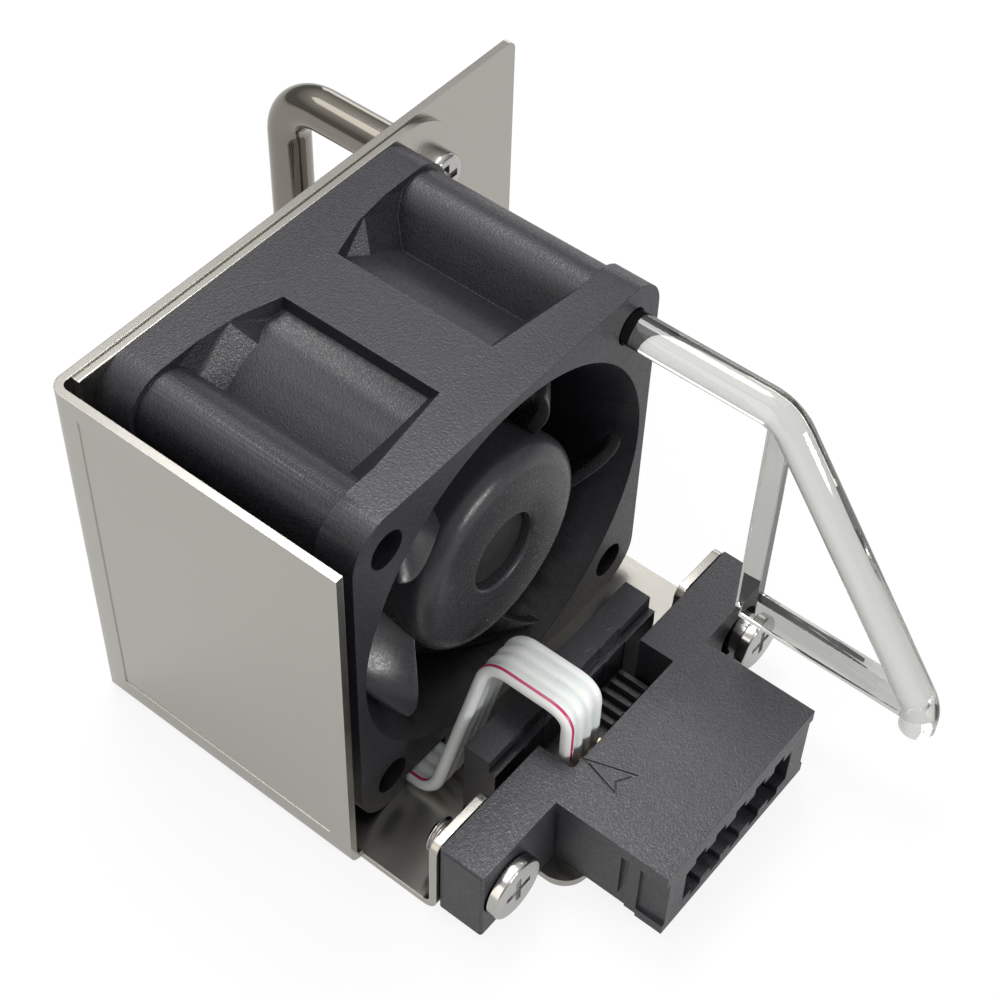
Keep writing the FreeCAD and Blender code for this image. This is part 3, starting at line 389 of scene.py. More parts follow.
def ribbon_mesh(line):
    """The flat cable swept along its line, its width along the connector's row of contacts."""
    outline = ribbon_section()
    count = len(outline)
    work = bmesh.new()
    across = Vector((1.0, 0.0, 0.0))
    rings = []
    for i, p in enumerate(line):
        ahead = (line[min(i + 1, len(line) - 1)] - line[max(i - 1, 0)]).normalized()
        up = across.cross(ahead).normalized()
        rings.append([work.verts.new(p + across * x * MM + up * y * MM) for x, y in outline])
    layer = work.loops.layers.uv.new("UVMap")
    gone = 0.0
    for i in range(len(rings) - 1):
        step = (line[i + 1] - line[i]).length
        for k in range(count):
            n = (k + 1) % count
            face = work.faces.new((rings[i][k], rings[i][n], rings[i + 1][n], rings[i + 1][k]))
            for loop, (u, v) in zip(face.loops, ((k, 0), (k + 1, 0), (k + 1, 1), (k, 1))):
                loop[layer].uv = (u / count, gone + v * step)
        gone += step
    for ring in (rings[0], rings[-1]):
        work.faces.new(ring)
    bmesh.ops.recalc_face_normals(work, faces=work.faces)
    return stored(work, bpy.data.meshes.new("flat_cable"))


def bare_copy(node):
    """A merged copy of a CAD node's mesh, with flat areas made whole."""
    mesh = frame["nodes"][node].data.copy()
    work = opened(mesh)
    bmesh.ops.remove_doubles(work, verts=work.verts, dist=MERGE)
    bmesh.ops.dissolve_limit(
        work, angle_limit=math.radians(0.6), verts=work.verts, edges=work.edges, delimit={"NORMAL"}
    )
    stored(work, mesh).materials.clear()
    return mesh


def solid_boxes(node):
    """Lowest and highest corner of each separate solid of a CAD node, always in the same order."""
    work = opened(frame["nodes"][node].data)
    bmesh.ops.remove_doubles(work, verts=work.verts, dist=MERGE)
    left, found = set(work.verts), []
    while left:
        todo, group = [left.pop()], []
        while todo:
            spot = todo.pop()
            group.append(spot.co.copy())
            near = {edge.other_vert(spot) for edge in spot.link_edges} & left
            left -= near
            todo.extend(near)
        low = Vector(min(p[i] for p in group) for i in range(3))
        high = Vector(max(p[i] for p in group) for i in range(3))
        found.append((low, high))
    work.free()
    return sorted(found, key=lambda box: tuple(box[0]))


def outlined_arrow(mesh):
    """Fills the middle of the arrow mark on the lid, so that a thin groove draws its outline."""
    middle = Vector(ARROW_MIDDLE)
    spots = [middle + (Vector(c) - middle) * ARROW_FILL for c in ARROW_CORNERS]
    work = opened(mesh)
    rings = []
    for z in (ARROW_TOP - ARROW_THICK, ARROW_TOP):
        rings.append([work.verts.new((p.x * MM, (p.y + ARROW_TIP) * MM, z * MM)) for p in spots])
    shell = [work.faces.new(ring) for ring in rings]
    for i in range(len(spots)):
        n = (i + 1) % len(spots)
        shell.append(work.faces.new((rings[0][i], rings[0][n], rings[1][n], rings[1][i])))
    bmesh.ops.recalc_face_normals(work, faces=shell)
    return stored(work, mesh)


def retainer_edge(mesh):
    """Closes most of the retainer's notches, because its edge is nearly straight in the photograph."""
    work = opened(mesh)
    for low, high in RETAINER_FILL:
        middle = [(a + b) / 2 * MM for a, b in zip(low, high)]
        size = [(b - a) * MM for a, b in zip(low, high)]
        bmesh.ops.create_cube(work, size=1.0, matrix=Matrix.LocRotScale(middle, None, size))
    return stored(work, mesh)


def ramp_wedges(mesh):
    """Joins the steep facets to the rear ends of the frame's upper recesses, as the photograph shows them.

    The frame is the same about its upright middle and about its diagonals, and so are the four facets.
    """
    x0, y0, z0 = RAMP_TOP[0]
    ahead = list(RAMP_TOP)
    for x, z in RAMP_FOOT:
        ahead.append((x, y0 + RAMP_RUN[0] * (x - x0) + RAMP_RUN[1] * (z - z0), z))
    work = opened(mesh)
    for side in (1, -1):
        for swap in (False, True):
            wedge = bmesh.new()
            for x, y, z in ahead:
                if swap:
                    x, z = z - FAN_MIDDLE, x + FAN_MIDDLE
                for depth in (y, RAMP_REAR):
                    wedge.verts.new((side * x * MM, depth * MM, z * MM))
            bmesh.ops.convex_hull(wedge, input=wedge.verts)
            bmesh.ops.delete(wedge, geom=[v for v in wedge.verts if not v.link_faces], context="VERTS")
            bmesh.ops.recalc_face_normals(wedge, faces=wedge.faces)
            part = stored(wedge, bpy.data.meshes.new("ramp_wedge"))
            work.from_mesh(part)
            bpy.data.meshes.remove(part)
    return stored(work, mesh)


def loose(name, data):
    """An object for a mesh, curve, lamp or camera, at the origin."""
    made = bpy.data.objects.new(name, data)
    bpy.context.scene.collection.objects.link(made)
    return made


def baked(piece):
    """The piece's own modifiers made part of a plain mesh."""
    seen = bpy.context.evaluated_depsgraph_get()
    seen.update()
    mesh = bpy.data.meshes.new_from_object(piece.evaluated_get(seen))
    piece.modifiers.clear()
    old = piece.data
    piece.data = mesh
    bpy.data.meshes.remove(old)
    return piece


def smooth(mesh, angle):
    """Smooth shading with edges sharper than the angle left crisp."""
    mesh.polygons.foreach_set("use_smooth", [True] * len(mesh.polygons))
    mesh.set_sharp_from_angle(angle=math.radians(angle))
    mesh.update()


def soften(piece, width, segments, limit):
    """A small radius on the edges sharper than the limit, as moulds and presses leave."""
    smooth(piece.data, limit)
    bevel = piece.modifiers.new("edge", "BEVEL")
    bevel.harden_normals = True
    bevel.width = width
    bevel.segments = segments
    bevel.limit_method = "ANGLE"
    bevel.angle_limit = math.radians(limit)
    bevel.use_clamp_overlap = True
    return baked(piece)


def settle(piece, material, body, stands_for):
    """A finished piece takes its material, rides on its body and stands for its CAD nodes."""
    piece.data.materials.clear()
    piece.data.materials.append(material)
    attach(piece, body)
    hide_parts(*stands_for)


def dressed(node, name, material, body, edge, segments=2, limit=CREASE, detail=None):
    """A CAD node's own shape, with small forms joined on and its sharp edges broken by a small radius."""
    piece = loose(name, bare_copy(node))
    if detail:
        detail(piece.data)
    if edge:
        soften(piece, edge, segments, limit)
    else:
        smooth(piece.data, limit)
    settle(piece, material, body, (node,))


def repaint(node, material):
    """A CAD node that keeps its own mesh takes a new material."""
    target = frame["nodes"][node]
    if not target.data.materials:
        target.data.materials.append(material)
    for spot in target.material_slots:
        spot.material = material


# Geometry Nodes trees

def new_tree(name, inputs):
    """An empty tree with named inputs and one geometry output."""
    tree = bpy.data.node_groups.new(name, "GeometryNodeTree")
    for label, kind in inputs:
        tree.interface.new_socket(label, in_out="INPUT", socket_type="NodeSocket" + kind)
    tree.interface.new_socket("Geometry", in_out="OUTPUT", socket_type="NodeSocketGeometry")
    return tree, add(tree, "NodeGroupInput")


def close_tree(tree, geometry, material):
    """The tree ends in real geometry with its material on it."""
    real = add(tree, "GeometryNodeRealizeInstances", links={"Geometry": geometry})
    painted = add(tree, "GeometryNodeSetMaterial", links={"Geometry": real.outputs[0], "Material": material})
    add(tree, "NodeGroupOutput", links={"Geometry": painted.outputs[0]})
    return tree


def turned_tree():
    """A profile of radius and height, turned about +Y and set at each point.

    With a driver cross, two blocks are cut out of the middle of its face.
    """
    tree, given = new_tree("turned_row", (
        ("Places", "Geometry"), ("Profile", "Object"), ("Segments", "Int"), ("Turn", "Vector"),
        ("Driver cross", "Bool"), ("Cross span", "Float"), ("Cross arm", "Float"), ("Cross depth", "Float"),
        ("Material", "Material"),
    ))
    outline = add(tree, "GeometryNodeObjectInfo", links={"Object": given.outputs["Profile"]})
    size = add(tree, "GeometryNodeAttributeDomainSize", links={"Geometry": outline.outputs["Geometry"]})
    rows = size.outputs["Point Count"]
    columns = add(tree, "ShaderNodeMath", {"operation": "ADD", 1: 1.0}, {0: given.outputs["Segments"]})
    grid = add(tree, "GeometryNodeMeshGrid", links={"Vertices X": columns.outputs[0], "Vertices Y": rows})
    index = add(tree, "GeometryNodeInputIndex")
    row = add(tree, "ShaderNodeMath", {"operation": "FLOORED_MODULO"}, {0: index.outputs[0], 1: rows})
    share = add(tree, "ShaderNodeMath", {"operation": "DIVIDE"}, {0: index.outputs[0], 1: rows})
    column = add(tree, "ShaderNodeMath", {"operation": "FLOOR"}, {0: share.outputs[0]})
    step = add(tree, "ShaderNodeMath", {"operation": "DIVIDE", 0: math.tau}, {1: given.outputs["Segments"]})
    angle = add(tree, "ShaderNodeMath", {"operation": "MULTIPLY"}, {0: column.outputs[0], 1: step.outputs[0]})
    place = add(tree, "GeometryNodeInputPosition")
    sample = add(
        tree, "GeometryNodeSampleIndex", {"data_type": "FLOAT_VECTOR", "domain": "POINT"},
        {"Geometry": outline.outputs["Geometry"], "Index": row.outputs[0]},
    )
    tree.links.new(place.outputs[0], next(i for i in sample.inputs if i.name == "Value" and i.enabled))
    spot = next(o for o in sample.outputs if o.enabled)
    split = add(tree, "ShaderNodeSeparateXYZ", links={0: spot})
    across = add(tree, "ShaderNodeMath", {"operation": "COSINE"}, {0: angle.outputs[0]})
    up = add(tree, "ShaderNodeMath", {"operation": "SINE"}, {0: angle.outputs[0]})
    x = add(tree, "ShaderNodeMath", {"operation": "MULTIPLY"}, {0: split.outputs[0], 1: across.outputs[0]})
    z = add(tree, "ShaderNodeMath", {"operation": "MULTIPLY"}, {0: split.outputs[0], 1: up.outputs[0]})
    point = add(tree, "ShaderNodeCombineXYZ", links={0: x.outputs[0], 1: split.outputs[1], 2: z.outputs[0]})
    formed = add(
        tree, "GeometryNodeSetPosition",
        links={"Geometry": grid.outputs["Mesh"], "Position": point.outputs[0]},
    )
    whole = add(tree, "GeometryNodeMergeByDistance", {"Distance": MERGE}, {"Geometry": formed.outputs[0]})
    deep = add(tree, "ShaderNodeMath", {"operation": "MULTIPLY", 1: 2.0}, {0: given.outputs["Cross depth"]})
    cut = whole.outputs[0]
    for first, second in (("Cross span", "Cross arm"), ("Cross arm", "Cross span")):
        block = add(
            tree, "ShaderNodeCombineXYZ",
            links={0: given.outputs[first], 1: deep.outputs[0], 2: given.outputs[second]},
        )
        arm = add(tree, "GeometryNodeMeshCube", links={"Size": block.outputs[0]})
        less = add(tree, "GeometryNodeMeshBoolean", {"operation": "DIFFERENCE", "solver": "EXACT"})
        tree.links.new(cut, less.inputs["Mesh 1"])
        tree.links.new(arm.outputs["Mesh"], less.inputs["Mesh 2"])
        cut = less.outputs["Mesh"]
    choice = add(
        tree, "GeometryNodeSwitch", {"input_type": "GEOMETRY"},
        {"Switch": given.outputs["Driver cross"], "False": whole.outputs[0], "True": cut},
    )
    copies = add(
        tree, "GeometryNodeInstanceOnPoints",
        links={
            "Points": given.outputs["Places"], "Instance": choice.outputs[0],
            "Rotation": given.outputs["Turn"],
        },
    )
    return close_tree(tree, copies.outputs[0], given.outputs["Material"])


def comb_tree():
    """A row of upright fins along +X, joined to the piece that they stand on."""
    tree, given = new_tree("comb_row", (
        ("Piece", "Geometry"), ("Fins", "Int"), ("Pitch", "Float"), ("First fin", "Vector"),
        ("Fin size", "Vector"), ("Material", "Material"),
    ))
    step = add(tree, "ShaderNodeCombineXYZ", links={0: given.outputs["Pitch"]})
    row = add(
        tree, "GeometryNodeMeshLine", {"mode": "OFFSET"},
        {
            "Count": given.outputs["Fins"], "Start Location": given.outputs["First fin"],
            "Offset": step.outputs[0],
        },
    )
    fin = add(tree, "GeometryNodeMeshCube", links={"Size": given.outputs["Fin size"]})
    copies = add(
        tree, "GeometryNodeInstanceOnPoints",
        links={"Points": row.outputs[0], "Instance": fin.outputs["Mesh"]},
    )
    both = add(tree, "GeometryNodeJoinGeometry")
    tree.links.new(given.outputs["Piece"], both.inputs[0])
    tree.links.new(copies.outputs[0], both.inputs[0])
    return close_tree(tree, both.outputs[0], given.outputs["Material"])


def wheel_tree():
    """Blades set round a hub about its +Y axis."""
    tree, given = new_tree("bladed_wheel", (
        ("Hub", "Geometry"), ("Blade", "Object"), ("Blades", "Int"), ("Centre", "Vector"),
        ("Material", "Material"),
    ))
    blade = add(tree, "GeometryNodeObjectInfo", links={"Object": given.outputs["Blade"]})
    row = add(
        tree, "GeometryNodeMeshLine", {"mode": "OFFSET", "Offset": (0.0, 0.0, 0.0)},
        {"Count": given.outputs["Blades"], "Start Location": given.outputs["Centre"]},
    )
    index = add(tree, "GeometryNodeInputIndex")
    step = add(tree, "ShaderNodeMath", {"operation": "DIVIDE", 0: -math.tau}, {1: given.outputs["Blades"]})
    angle = add(tree, "ShaderNodeMath", {"operation": "MULTIPLY"}, {0: index.outputs[0], 1: step.outputs[0]})
    turn = add(tree, "ShaderNodeCombineXYZ", links={1: angle.outputs[0]})
    copies = add(
        tree, "GeometryNodeInstanceOnPoints",
        links={"Points": row.outputs[0], "Instance": blade.outputs["Geometry"], "Rotation": turn.outputs[0]},
    )
    both = add(tree, "GeometryNodeJoinGeometry")
    tree.links.new(given.outputs["Hub"], both.inputs[0])
    tree.links.new(copies.outputs[0], both.inputs[0])
    return close_tree(tree, both.outputs[0], given.outputs["Material"])


def grown(name, mesh, tree, values, angle):
    """The tree's result on a mesh, as a plain closed mesh with its faces turned outwards."""
    piece = loose(name, mesh)
    nodes = piece.modifiers.new(name, "NODES")
    nodes.node_group = tree
    for socket in tree.interface.items_tree:
        if socket.in_out == "INPUT" and socket.name in values:
            nodes[socket.identifier] = values[socket.name]
    baked(piece)
    work = opened(piece.data)
    bmesh.ops.remove_doubles(work, verts=work.verts, dist=1e-7)
    bmesh.ops.recalc_face_normals(work, faces=work.faces)
    stored(work, piece.data)
    # Normals that a bevel left don't fit the merged mesh
    if "custom_normal" in piece.data.attributes:
        piece.data.attributes.remove(piece.data.attributes["custom_normal"])
    smooth(piece.data, angle)
    return piece


def points_mesh(name, points, joined=False):
    """Loose points, or points joined into one line."""
    mesh = bpy.data.meshes.new(name)
    links = [(i, i + 1) for i in range(len(points) - 1)] if joined else []
    mesh.from_pydata([tuple(p) for p in points], links, [])
    return mesh


def corner_arc(centre, radius, start, stop, steps=5):
    """Points of a rounded corner of a profile, in millimetres and degrees."""
    out = []
    for i in range(steps + 1):
        a = math.radians(start + (stop - start) * i / steps)
        out.append((centre[0] + radius * math.cos(a), centre[1] + radius * math.sin(a)))
    return out


def thread(radius, top, length, pitch, depth):
    """A screw thread's outline. At this size its helix reads as rings."""
    out = [(radius - depth, top)]
    for i in range(int(length / pitch)):
        y = top - i * pitch
        out += [(radius, y - 0.4 * pitch), (radius, y - 0.55 * pitch), (radius - depth, y - 0.95 * pitch)]
    end = top - length
    return out + [(radius - depth - 0.2, end), (0.0, end)]


def turned(name, profile, places, material, turn=(0.0, 0.0, 0.0), cross=None, segments=56, angle=32.0):
    """A turned piece at each place from its profile in millimetres, listed from its front to its rear.

    A cross is its span, its arm's width and its depth.
    """
    outline = loose(name + "_profile", points_mesh(name, [(r * MM, y * MM, 0.0) for r, y in profile], True))
    values = {"Profile": outline, "Segments": segments, "Turn": turn, "Driver cross": cross is not None}
    values["Material"] = material
    if cross:
        for label, size in zip(("Cross span", "Cross arm", "Cross depth"), cross):
            values[label] = size * MM
    piece = grown(name, points_mesh(name, places), turned_tree(), values, angle)
    bpy.data.objects.remove(outline)
    return piece


# The impeller, in millimetres and degrees, from a blade's root in the hub to its tip.
# Sweep is the angle from a blade's front edge to its rear edge, which it covers ever more slowly, lead is
# where the front edge lies, and setback is how far that edge stands behind the foremost point
BLADE_COUNT = 5
HUB_R = 10.8
BLADE_SUNK = 0.6
BLADE_TIP_R = 16.9
BLADE_DEPTH = 11.0
FRONT_EDGE = 13.85
ROOT_SETBACK, TIP_SETBACK = 3.2, 0.9
ROOT_SWEEP, TIP_SWEEP = 37.4, 66.0
SLOWING = 0.18
TIP_LEAD, ROOT_EXTRA_LEAD = 33.6, 20.0
ROOT_THICK, TIP_LESS = 1.45, 0.2


def blade_mesh():
    """One twisted blade about the wheel's axis, a little thicker in the middle than at its edges."""
    stations, steps = 13, 25
    work = bmesh.new()
    faces = []
    for side in (-1, 1):
        grid = []
        for i in range(stations):
            u = i / (stations - 1)
            r = HUB_R - BLADE_SUNK + (BLADE_TIP_R - HUB_R + BLADE_SUNK) * u
            turn = ROOT_SWEEP + (TIP_SWEEP - ROOT_SWEEP) * u
            lead = TIP_LEAD + ROOT_EXTRA_LEAD * (1 - u) ** 1.5
            front = FRONT_EDGE - ROOT_SETBACK * (1 - u) ** 1.6 - TIP_SETBACK * u ** 7
            thick = ROOT_THICK - TIP_LESS * u
            row = []
            for k in range(steps):
                t = k / (steps - 1)
                a = math.radians(lead + turn * t * (1 - SLOWING * t))
                lift = side * thick * (0.9 + 0.1 * math.sin(math.pi * (0.12 + 0.76 * t))) / 2
                y = front - BLADE_DEPTH * t + lift
                row.append(work.verts.new(Vector((r * math.cos(a), y, r * math.sin(a))) * MM))
            grid.append(row)
        faces.append(grid)
        for i in range(stations - 1):
            for k in range(steps - 1):
                work.faces.new((grid[i][k], grid[i + 1][k], grid[i + 1][k + 1], grid[i][k + 1]))
    low, high = faces
    for k in range(steps - 1):
        for i in (0, stations - 1):
            work.faces.new((low[i][k], low[i][k + 1], high[i][k + 1], high[i][k]))
    for i in range(stations - 1):
        for k in (0, steps - 1):
            work.faces.new((low[i][k], low[i + 1][k], high[i + 1][k], high[i][k]))
    bmesh.ops.recalc_face_normals(work, faces=work.faces)
    return stored(work, bpy.data.meshes.new("blade"))


# Properties, operators and the panel

def length(label, description, default):
    """A length property in metres."""
    return bpy.props.FloatProperty(
        name=label, description=description, default=default, min=0.0, precision=5, unit="LENGTH",
        subtype="DISTANCE",
    )


def tint(label, description, code):
    """A colour property with an sRGB hex colour as its default."""
    return bpy.props.FloatVectorProperty(
        name=label, description=description, default=linear(code), size=4, min=0.0, max=1.0,
        subtype="COLOR",
    )


class FanModuleSizes(bpy.types.PropertyGroup):
    """Sizes that a user would change"""
    sheet_edge: length("Sheet edge", "Radius that breaks the sheet's cut edges", 0.00010)
    frame_edge: length("Moulded edge", "Radius on the fan frame's moulded edges", 0.00018)
    housing_edge: length("Housing edge", "Radius on the connector housing's edges", 0.00012)
    pipe_edge: length("Light pipe edge", "Radius on the light pipe's edges", 0.00012)
    blade_edge: length("Blade edge", "Radius on the blades' edges", 0.00052)
    lens: bpy.props.FloatProperty(
        name="Lens", description="Focal length on a 36 mm sensor", default=75.6, unit="CAMERA"
    )


class FanModuleColours(bpy.types.PropertyGroup):
    """Colours that a user would change"""
    sheet: tint("Sheet", "Stainless sheet of the bracket", "#B4B1AA")
    bar: tint("Handle", "Nickel plate of the handle", "#8A857C")
    screw: tint("Screws", "Bright zinc plate of the screws", "#BDBCB9")
    frame: tint("Fan frame", "Glass-filled PBT of the fan frame", "#202026")
    impeller: tint("Impeller", "Glass-filled PBT of the impeller", "#333336")
    housing: tint("Connector", "Glass-filled nylon of the connector", "#2A2A2F")


class FANMODULE_OT_bracket(bpy.types.Operator):
    """Sheet bracket and the backing plate behind the fan"""
    bl_idname = "fanmodule.bracket"
    bl_label = "Bracket and backing plate"

    def execute(self, context):
        sizes, colours = context.scene.fan_sizes, context.scene.fan_colours
        steel = sheet_steel("stainless_sheet_2b", tuple(colours.sheet), rough=0.25)
        for node, name in (("bracket", "bracket_sheet"), ("backing_plate", "backing_sheet")):
            dressed(node, name, steel, "frame", sizes.sheet_edge)
        return {"FINISHED"}


class FANMODULE_OT_handle(bpy.types.Operator):
    """Round pull handle"""
    bl_idname = "fanmodule.handle"
    bl_label = "Pull handle"

    def execute(self, context):
        # Nickel-plated steel bar, polished: it mirrors the room in long dark and bright bands
        nickel = worked_metal("nickel_plated_bar", tuple(context.scene.fan_colours.bar), rough=0.09)
        dressed("handle", "pull_handle", nickel, "frame", 0.0, limit=40.0)
        return {"FINISHED"}


class FANMODULE_OT_screws(bpy.types.Operator):
    """Handle screws, fan screws, shoulder screws and clinch nuts"""
    bl_idname = "fanmodule.screws"
    bl_label = "Screws"

    def execute(self, context):
        # Zinc-plated steel, turned and cold-headed: bright, with a slightly soft reflection
        steel = worked_metal("zinc_plated_screw", tuple(context.scene.fan_colours.screw), rough=0.18)
        fronts = {}
        for node in ("handle_screws", "shoulder_screws"):
            boxes = solid_boxes(node)
            fronts[node] = [((a.x + b.x) / 2, b.y, (a.z + b.z) / 2) for a, b in boxes]
        boxes = solid_boxes("fan_screws")
        fronts["fan_screws"] = [((a.x + b.x) / 2, a.y, (a.z + b.z) / 2) for a, b in boxes]
        # Profiles as (radius, height above the head's face) in millimetres, head first
        pan = [(0.0, 0.0), *corner_arc((1.9, -0.6), 0.6, 90, 0), (2.5, -1.7)]
        pan += thread(radius=1.25, top=-1.7, length=6.6, pitch=0.45, depth=0.2)
        cheese = [(0.0, 0.0), *corner_arc((2.85, -0.25), 0.25, 90, 0), (3.1, -1.05), (3.0, -1.15)]
        cheese += [(2.4, -1.15), (2.4, -5.95), (2.3, -6.05)]
        cheese += thread(radius=1.75, top=-6.05, length=3.1, pitch=0.5, depth=0.25)
        flat = [(0.0, 0.0), (3.0, 0.0), (3.1, -0.06), (1.5, -1.3)]
        flat += thread(radius=1.5, top=-1.3, length=7.25, pitch=0.5, depth=0.22)
        as_is, half_turn = (0.0, 0.0, 0.0), (0.0, 0.0, math.pi)
        for node, profile, turn, cross in (
            ("handle_screws", pan, as_is, (3.1, 0.8, 0.45)),
            ("shoulder_screws", cheese, as_is, (3.2, 0.7, 0.3)),
            ("fan_screws", flat, half_turn, (3.4, 0.9, 0.4)),
        ):
            row = turned(node + "_turned", profile, fronts[node], steel, turn, cross)
            settle(row, steel, "frame", (node,))
        dressed("clinch_nuts", "clinch_nuts_pressed", steel, "frame", 0.06 * MM)
        return {"FINISHED"}


class FANMODULE_OT_light_pipe(bpy.types.Operator):
    """Clear light pipe with its brace"""
    bl_idname = "fanmodule.light_pipe"
    bl_label = "Light pipe"

    def execute(self, context):
        acrylic = clear_acrylic("moulded_acrylic")
        edge = context.scene.fan_sizes.pipe_edge
        dressed("light_pipe", "clear_light_pipe", acrylic, "frame", edge)
        return {"FINISHED"}


class FANMODULE_OT_fan_frame(bpy.types.Operator):
    """Moulded fan frame"""
    bl_idname = "fanmodule.fan_frame"
    bl_label = "Fan frame"

    def execute(self, context):
        sizes, colours = context.scene.fan_sizes, context.scene.fan_colours
        # Glass-filled PBT with a medium spark texture: charcoal, satin, with a clear sparkle
        plastic = moulded_plastic(
            "spark_textured_pbt", tuple(colours.frame), rough=0.42, grain_mm=0.15, depth=1.2, fleck=0.4
        )
        dressed(
            "fan_frame", "moulded_frame", plastic, "frame", sizes.frame_edge,
            segments=3, detail=ramp_wedges,
        )
        return {"FINISHED"}


class FANMODULE_OT_impeller(bpy.types.Operator):
    """Impeller with its hub"""
    bl_idname = "fanmodule.impeller"
    bl_label = "Impeller"

    def execute(self, context):
        sizes, colours = context.scene.fan_sizes, context.scene.fan_colours
        # Glass-filled PBT from a finer tool: smoother than the frame, with broad soft gleams
        plastic = moulded_plastic(
            "fine_textured_pbt", tuple(colours.impeller), rough=0.30, grain_mm=0.17, depth=0.2, fleck=0.1,
            specular=0.35,
        )
        face, inside, rear, wall, hole = 13.5, 12.3, -6.0, 9.8, 3.9
        lip, shoulder, chamfer = 0.4, 2.0, 0.2
        profile = [(hole, inside), (hole, face - lip)]
        profile += corner_arc((hole + lip, face - lip), lip, 180, 90)
        profile += corner_arc((HUB_R - shoulder, face - shoulder), shoulder, 90, 0, 8)
        profile += [(HUB_R, rear + chamfer), (HUB_R - chamfer, rear), (wall, rear)]
        profile += [(wall, inside), (hole, inside)]
        hub = turned("hub", profile, [AXIS], plastic, segments=96)
        blade = soften(loose("blade", blade_mesh()), sizes.blade_edge, segments=3, limit=40.0)
        values = {"Blade": blade, "Blades": BLADE_COUNT, "Centre": tuple(AXIS), "Material": plastic}
        wheel = grown("moulded_impeller", hub.data.copy(), wheel_tree(), values, 36.0)
        bpy.data.objects.remove(blade)
        bpy.data.objects.remove(hub)
        settle(wheel, plastic, "rotor", ("impeller",))
        # A thin matt black disc over the shaft's end: painted shade, a dark sheet that keeps the inside of
        # the hub's hole dark
        shade_film = moulded_plastic(
            "matt_black_shade_film", linear("#1B1B1C"), rough=0.6, grain_mm=0.3, depth=0.2, fleck=0.1
        )
        rim = [(0.0, 12.40), (3.70, 12.40), (3.78, 12.38), (3.78, 12.31), (0.0, 12.31)]
        shade_disc = turned("shaft_seal", rim, [AXIS], shade_film, segments=64)
        shade_disc.data.materials.clear()
        shade_disc.data.materials.append(shade_film)
        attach(shade_disc, "rotor")
        return {"FINISHED"}


class FANMODULE_OT_motor(bpy.types.Operator):
    """Materials of the motor's inner pieces"""
    bl_idname = "fanmodule.motor"
    bl_label = "Motor"

    def execute(self, context):
        # Ball bearings and shaft: ground chrome steel with a bright, slightly soft shine
        steel = worked_metal("ground_bearing_steel", linear("#C6C6C8"), rough=0.14)
        # Rotor cup and bush: blackened steel, nearly matte; its dark tone is also painted shade for the view
        # through the hub's hole
        black = worked_metal("blackened_steel_and_painted_shade", linear("#3A3A3C"), rough=0.42)
        # Stator stack: varnished silicon steel laminations, dull grey
        core = worked_metal("silicon_steel_laminations", linear("#6E6E72"), rough=0.40)
        # Bearing tube: free-cutting brass, turned
        brass = worked_metal("turned_brass", linear("#C6A660"), rough=0.24)
        # Windings: copper wire under clear enamel, which gives it an orange-brown gloss
        copper = worked_metal("enamelled_copper_wire", linear("#A8602F"), rough=0.30)
        # Magnet ring: ferrite powder in a binder, brown-black and dull
        ferrite = moulded_plastic("bonded_ferrite", linear("#2C2A2A"), rough=0.6, grain_mm=0.2, depth=0.3)
        # Insulators: unfilled nylon, ivory with a waxy, even gloss
        nylon = moulded_plastic(
            "nylon_insulator", linear("#D8D6C8"), rough=0.45, grain_mm=0.2, depth=0.1, fleck=0.05
        )
        # Motor board: green solder resist, fairly glossy with a faint mottle
        board = moulded_plastic(
            "solder_resist", linear("#1A4F2C"), rough=0.35, grain_mm=0.3, depth=0.1, fleck=0.06
        )
        # Parts on the board: black moulding epoxy, matt and slightly grainy
        chip = moulded_plastic("epoxy_chip", linear("#17171A"), rough=0.5, grain_mm=0.2, depth=0.3)
        for node, material in (
            ("rotor_cup", black), ("rotor_magnet", ferrite), ("rotor_bush", black), ("shaft", steel),
            ("retaining_ring", steel), ("bearing_outer_rings", steel), ("bearing_inner_rings", steel),
            ("bearing_balls", steel), ("preload_washer", steel), ("bearing_tube", brass),
            ("stator_core", core), ("stator_insulators", nylon), ("stator_coils", copper),
            ("motor_board", board), ("board_parts", chip),
        ):
            repaint(node, material)
        return {"FINISHED"}


class FANMODULE_OT_connector(bpy.types.Operator):
    """Connector housing, wire retainer and contacts"""
    bl_idname = "fanmodule.connector"
    bl_label = "Connector"

    def execute(self, context):
        sizes, colours = context.scene.fan_sizes, context.scene.fan_colours
        # Glass-filled nylon with a medium spark texture: charcoal, satin, with pale specks
        nylon = moulded_plastic(
            "glass_filled_nylon", tuple(colours.housing), rough=0.40, grain_mm=0.15, depth=1.2, fleck=0.4
        )
        dressed(
            "connector_housing", "connector_moulding", nylon, "connector",
            sizes.housing_edge, detail=outlined_arrow,
        )
        bar = loose("retainer_bar", retainer_edge(bare_copy("wire_retainer")))
        soften(bar, sizes.housing_edge, segments=2, limit=CREASE)
        values = {
            "Fins": 5, "Pitch": PITCH * MM, "First fin": Vector((-5.7, 24.6, 5.05)) * MM,
            "Fin size": Vector((0.5, 3.2, 1.1)) * MM, "Material": nylon,
        }
        retainer = grown("wire_retainer_moulding", bar.data.copy(), comb_tree(), values, 20.0)
        bpy.data.objects.remove(bar)
        settle(retainer, nylon, "connector", ("wire_retainer",))
        # Contacts: phosphor bronze strip, stamped and tin-plated, pale with a warm tinge
        repaint("contacts", worked_metal("plated_contact_bronze", linear("#C9BC94"), rough=0.22))
        return {"FINISHED"}


class FANMODULE_OT_ribbon(bpy.types.Operator):
    """Ribbon cable of four joined conductors"""
    bl_idname = "fanmodule.ribbon"
    bl_label = "Ribbon cable"

    def execute(self, context):
        vinyl = ribbon_vinyl("extruded_pvc_ribbon")
        line = nurbs_line("ribbon_route", RIBBON_ROUTE)
        ribbon = loose("flat_ribbon_cable", ribbon_mesh(line))
        smooth(ribbon.data, 60)
        settle(ribbon, vinyl, "frame", ("ribbon_cable",))
        return {"FINISHED"}


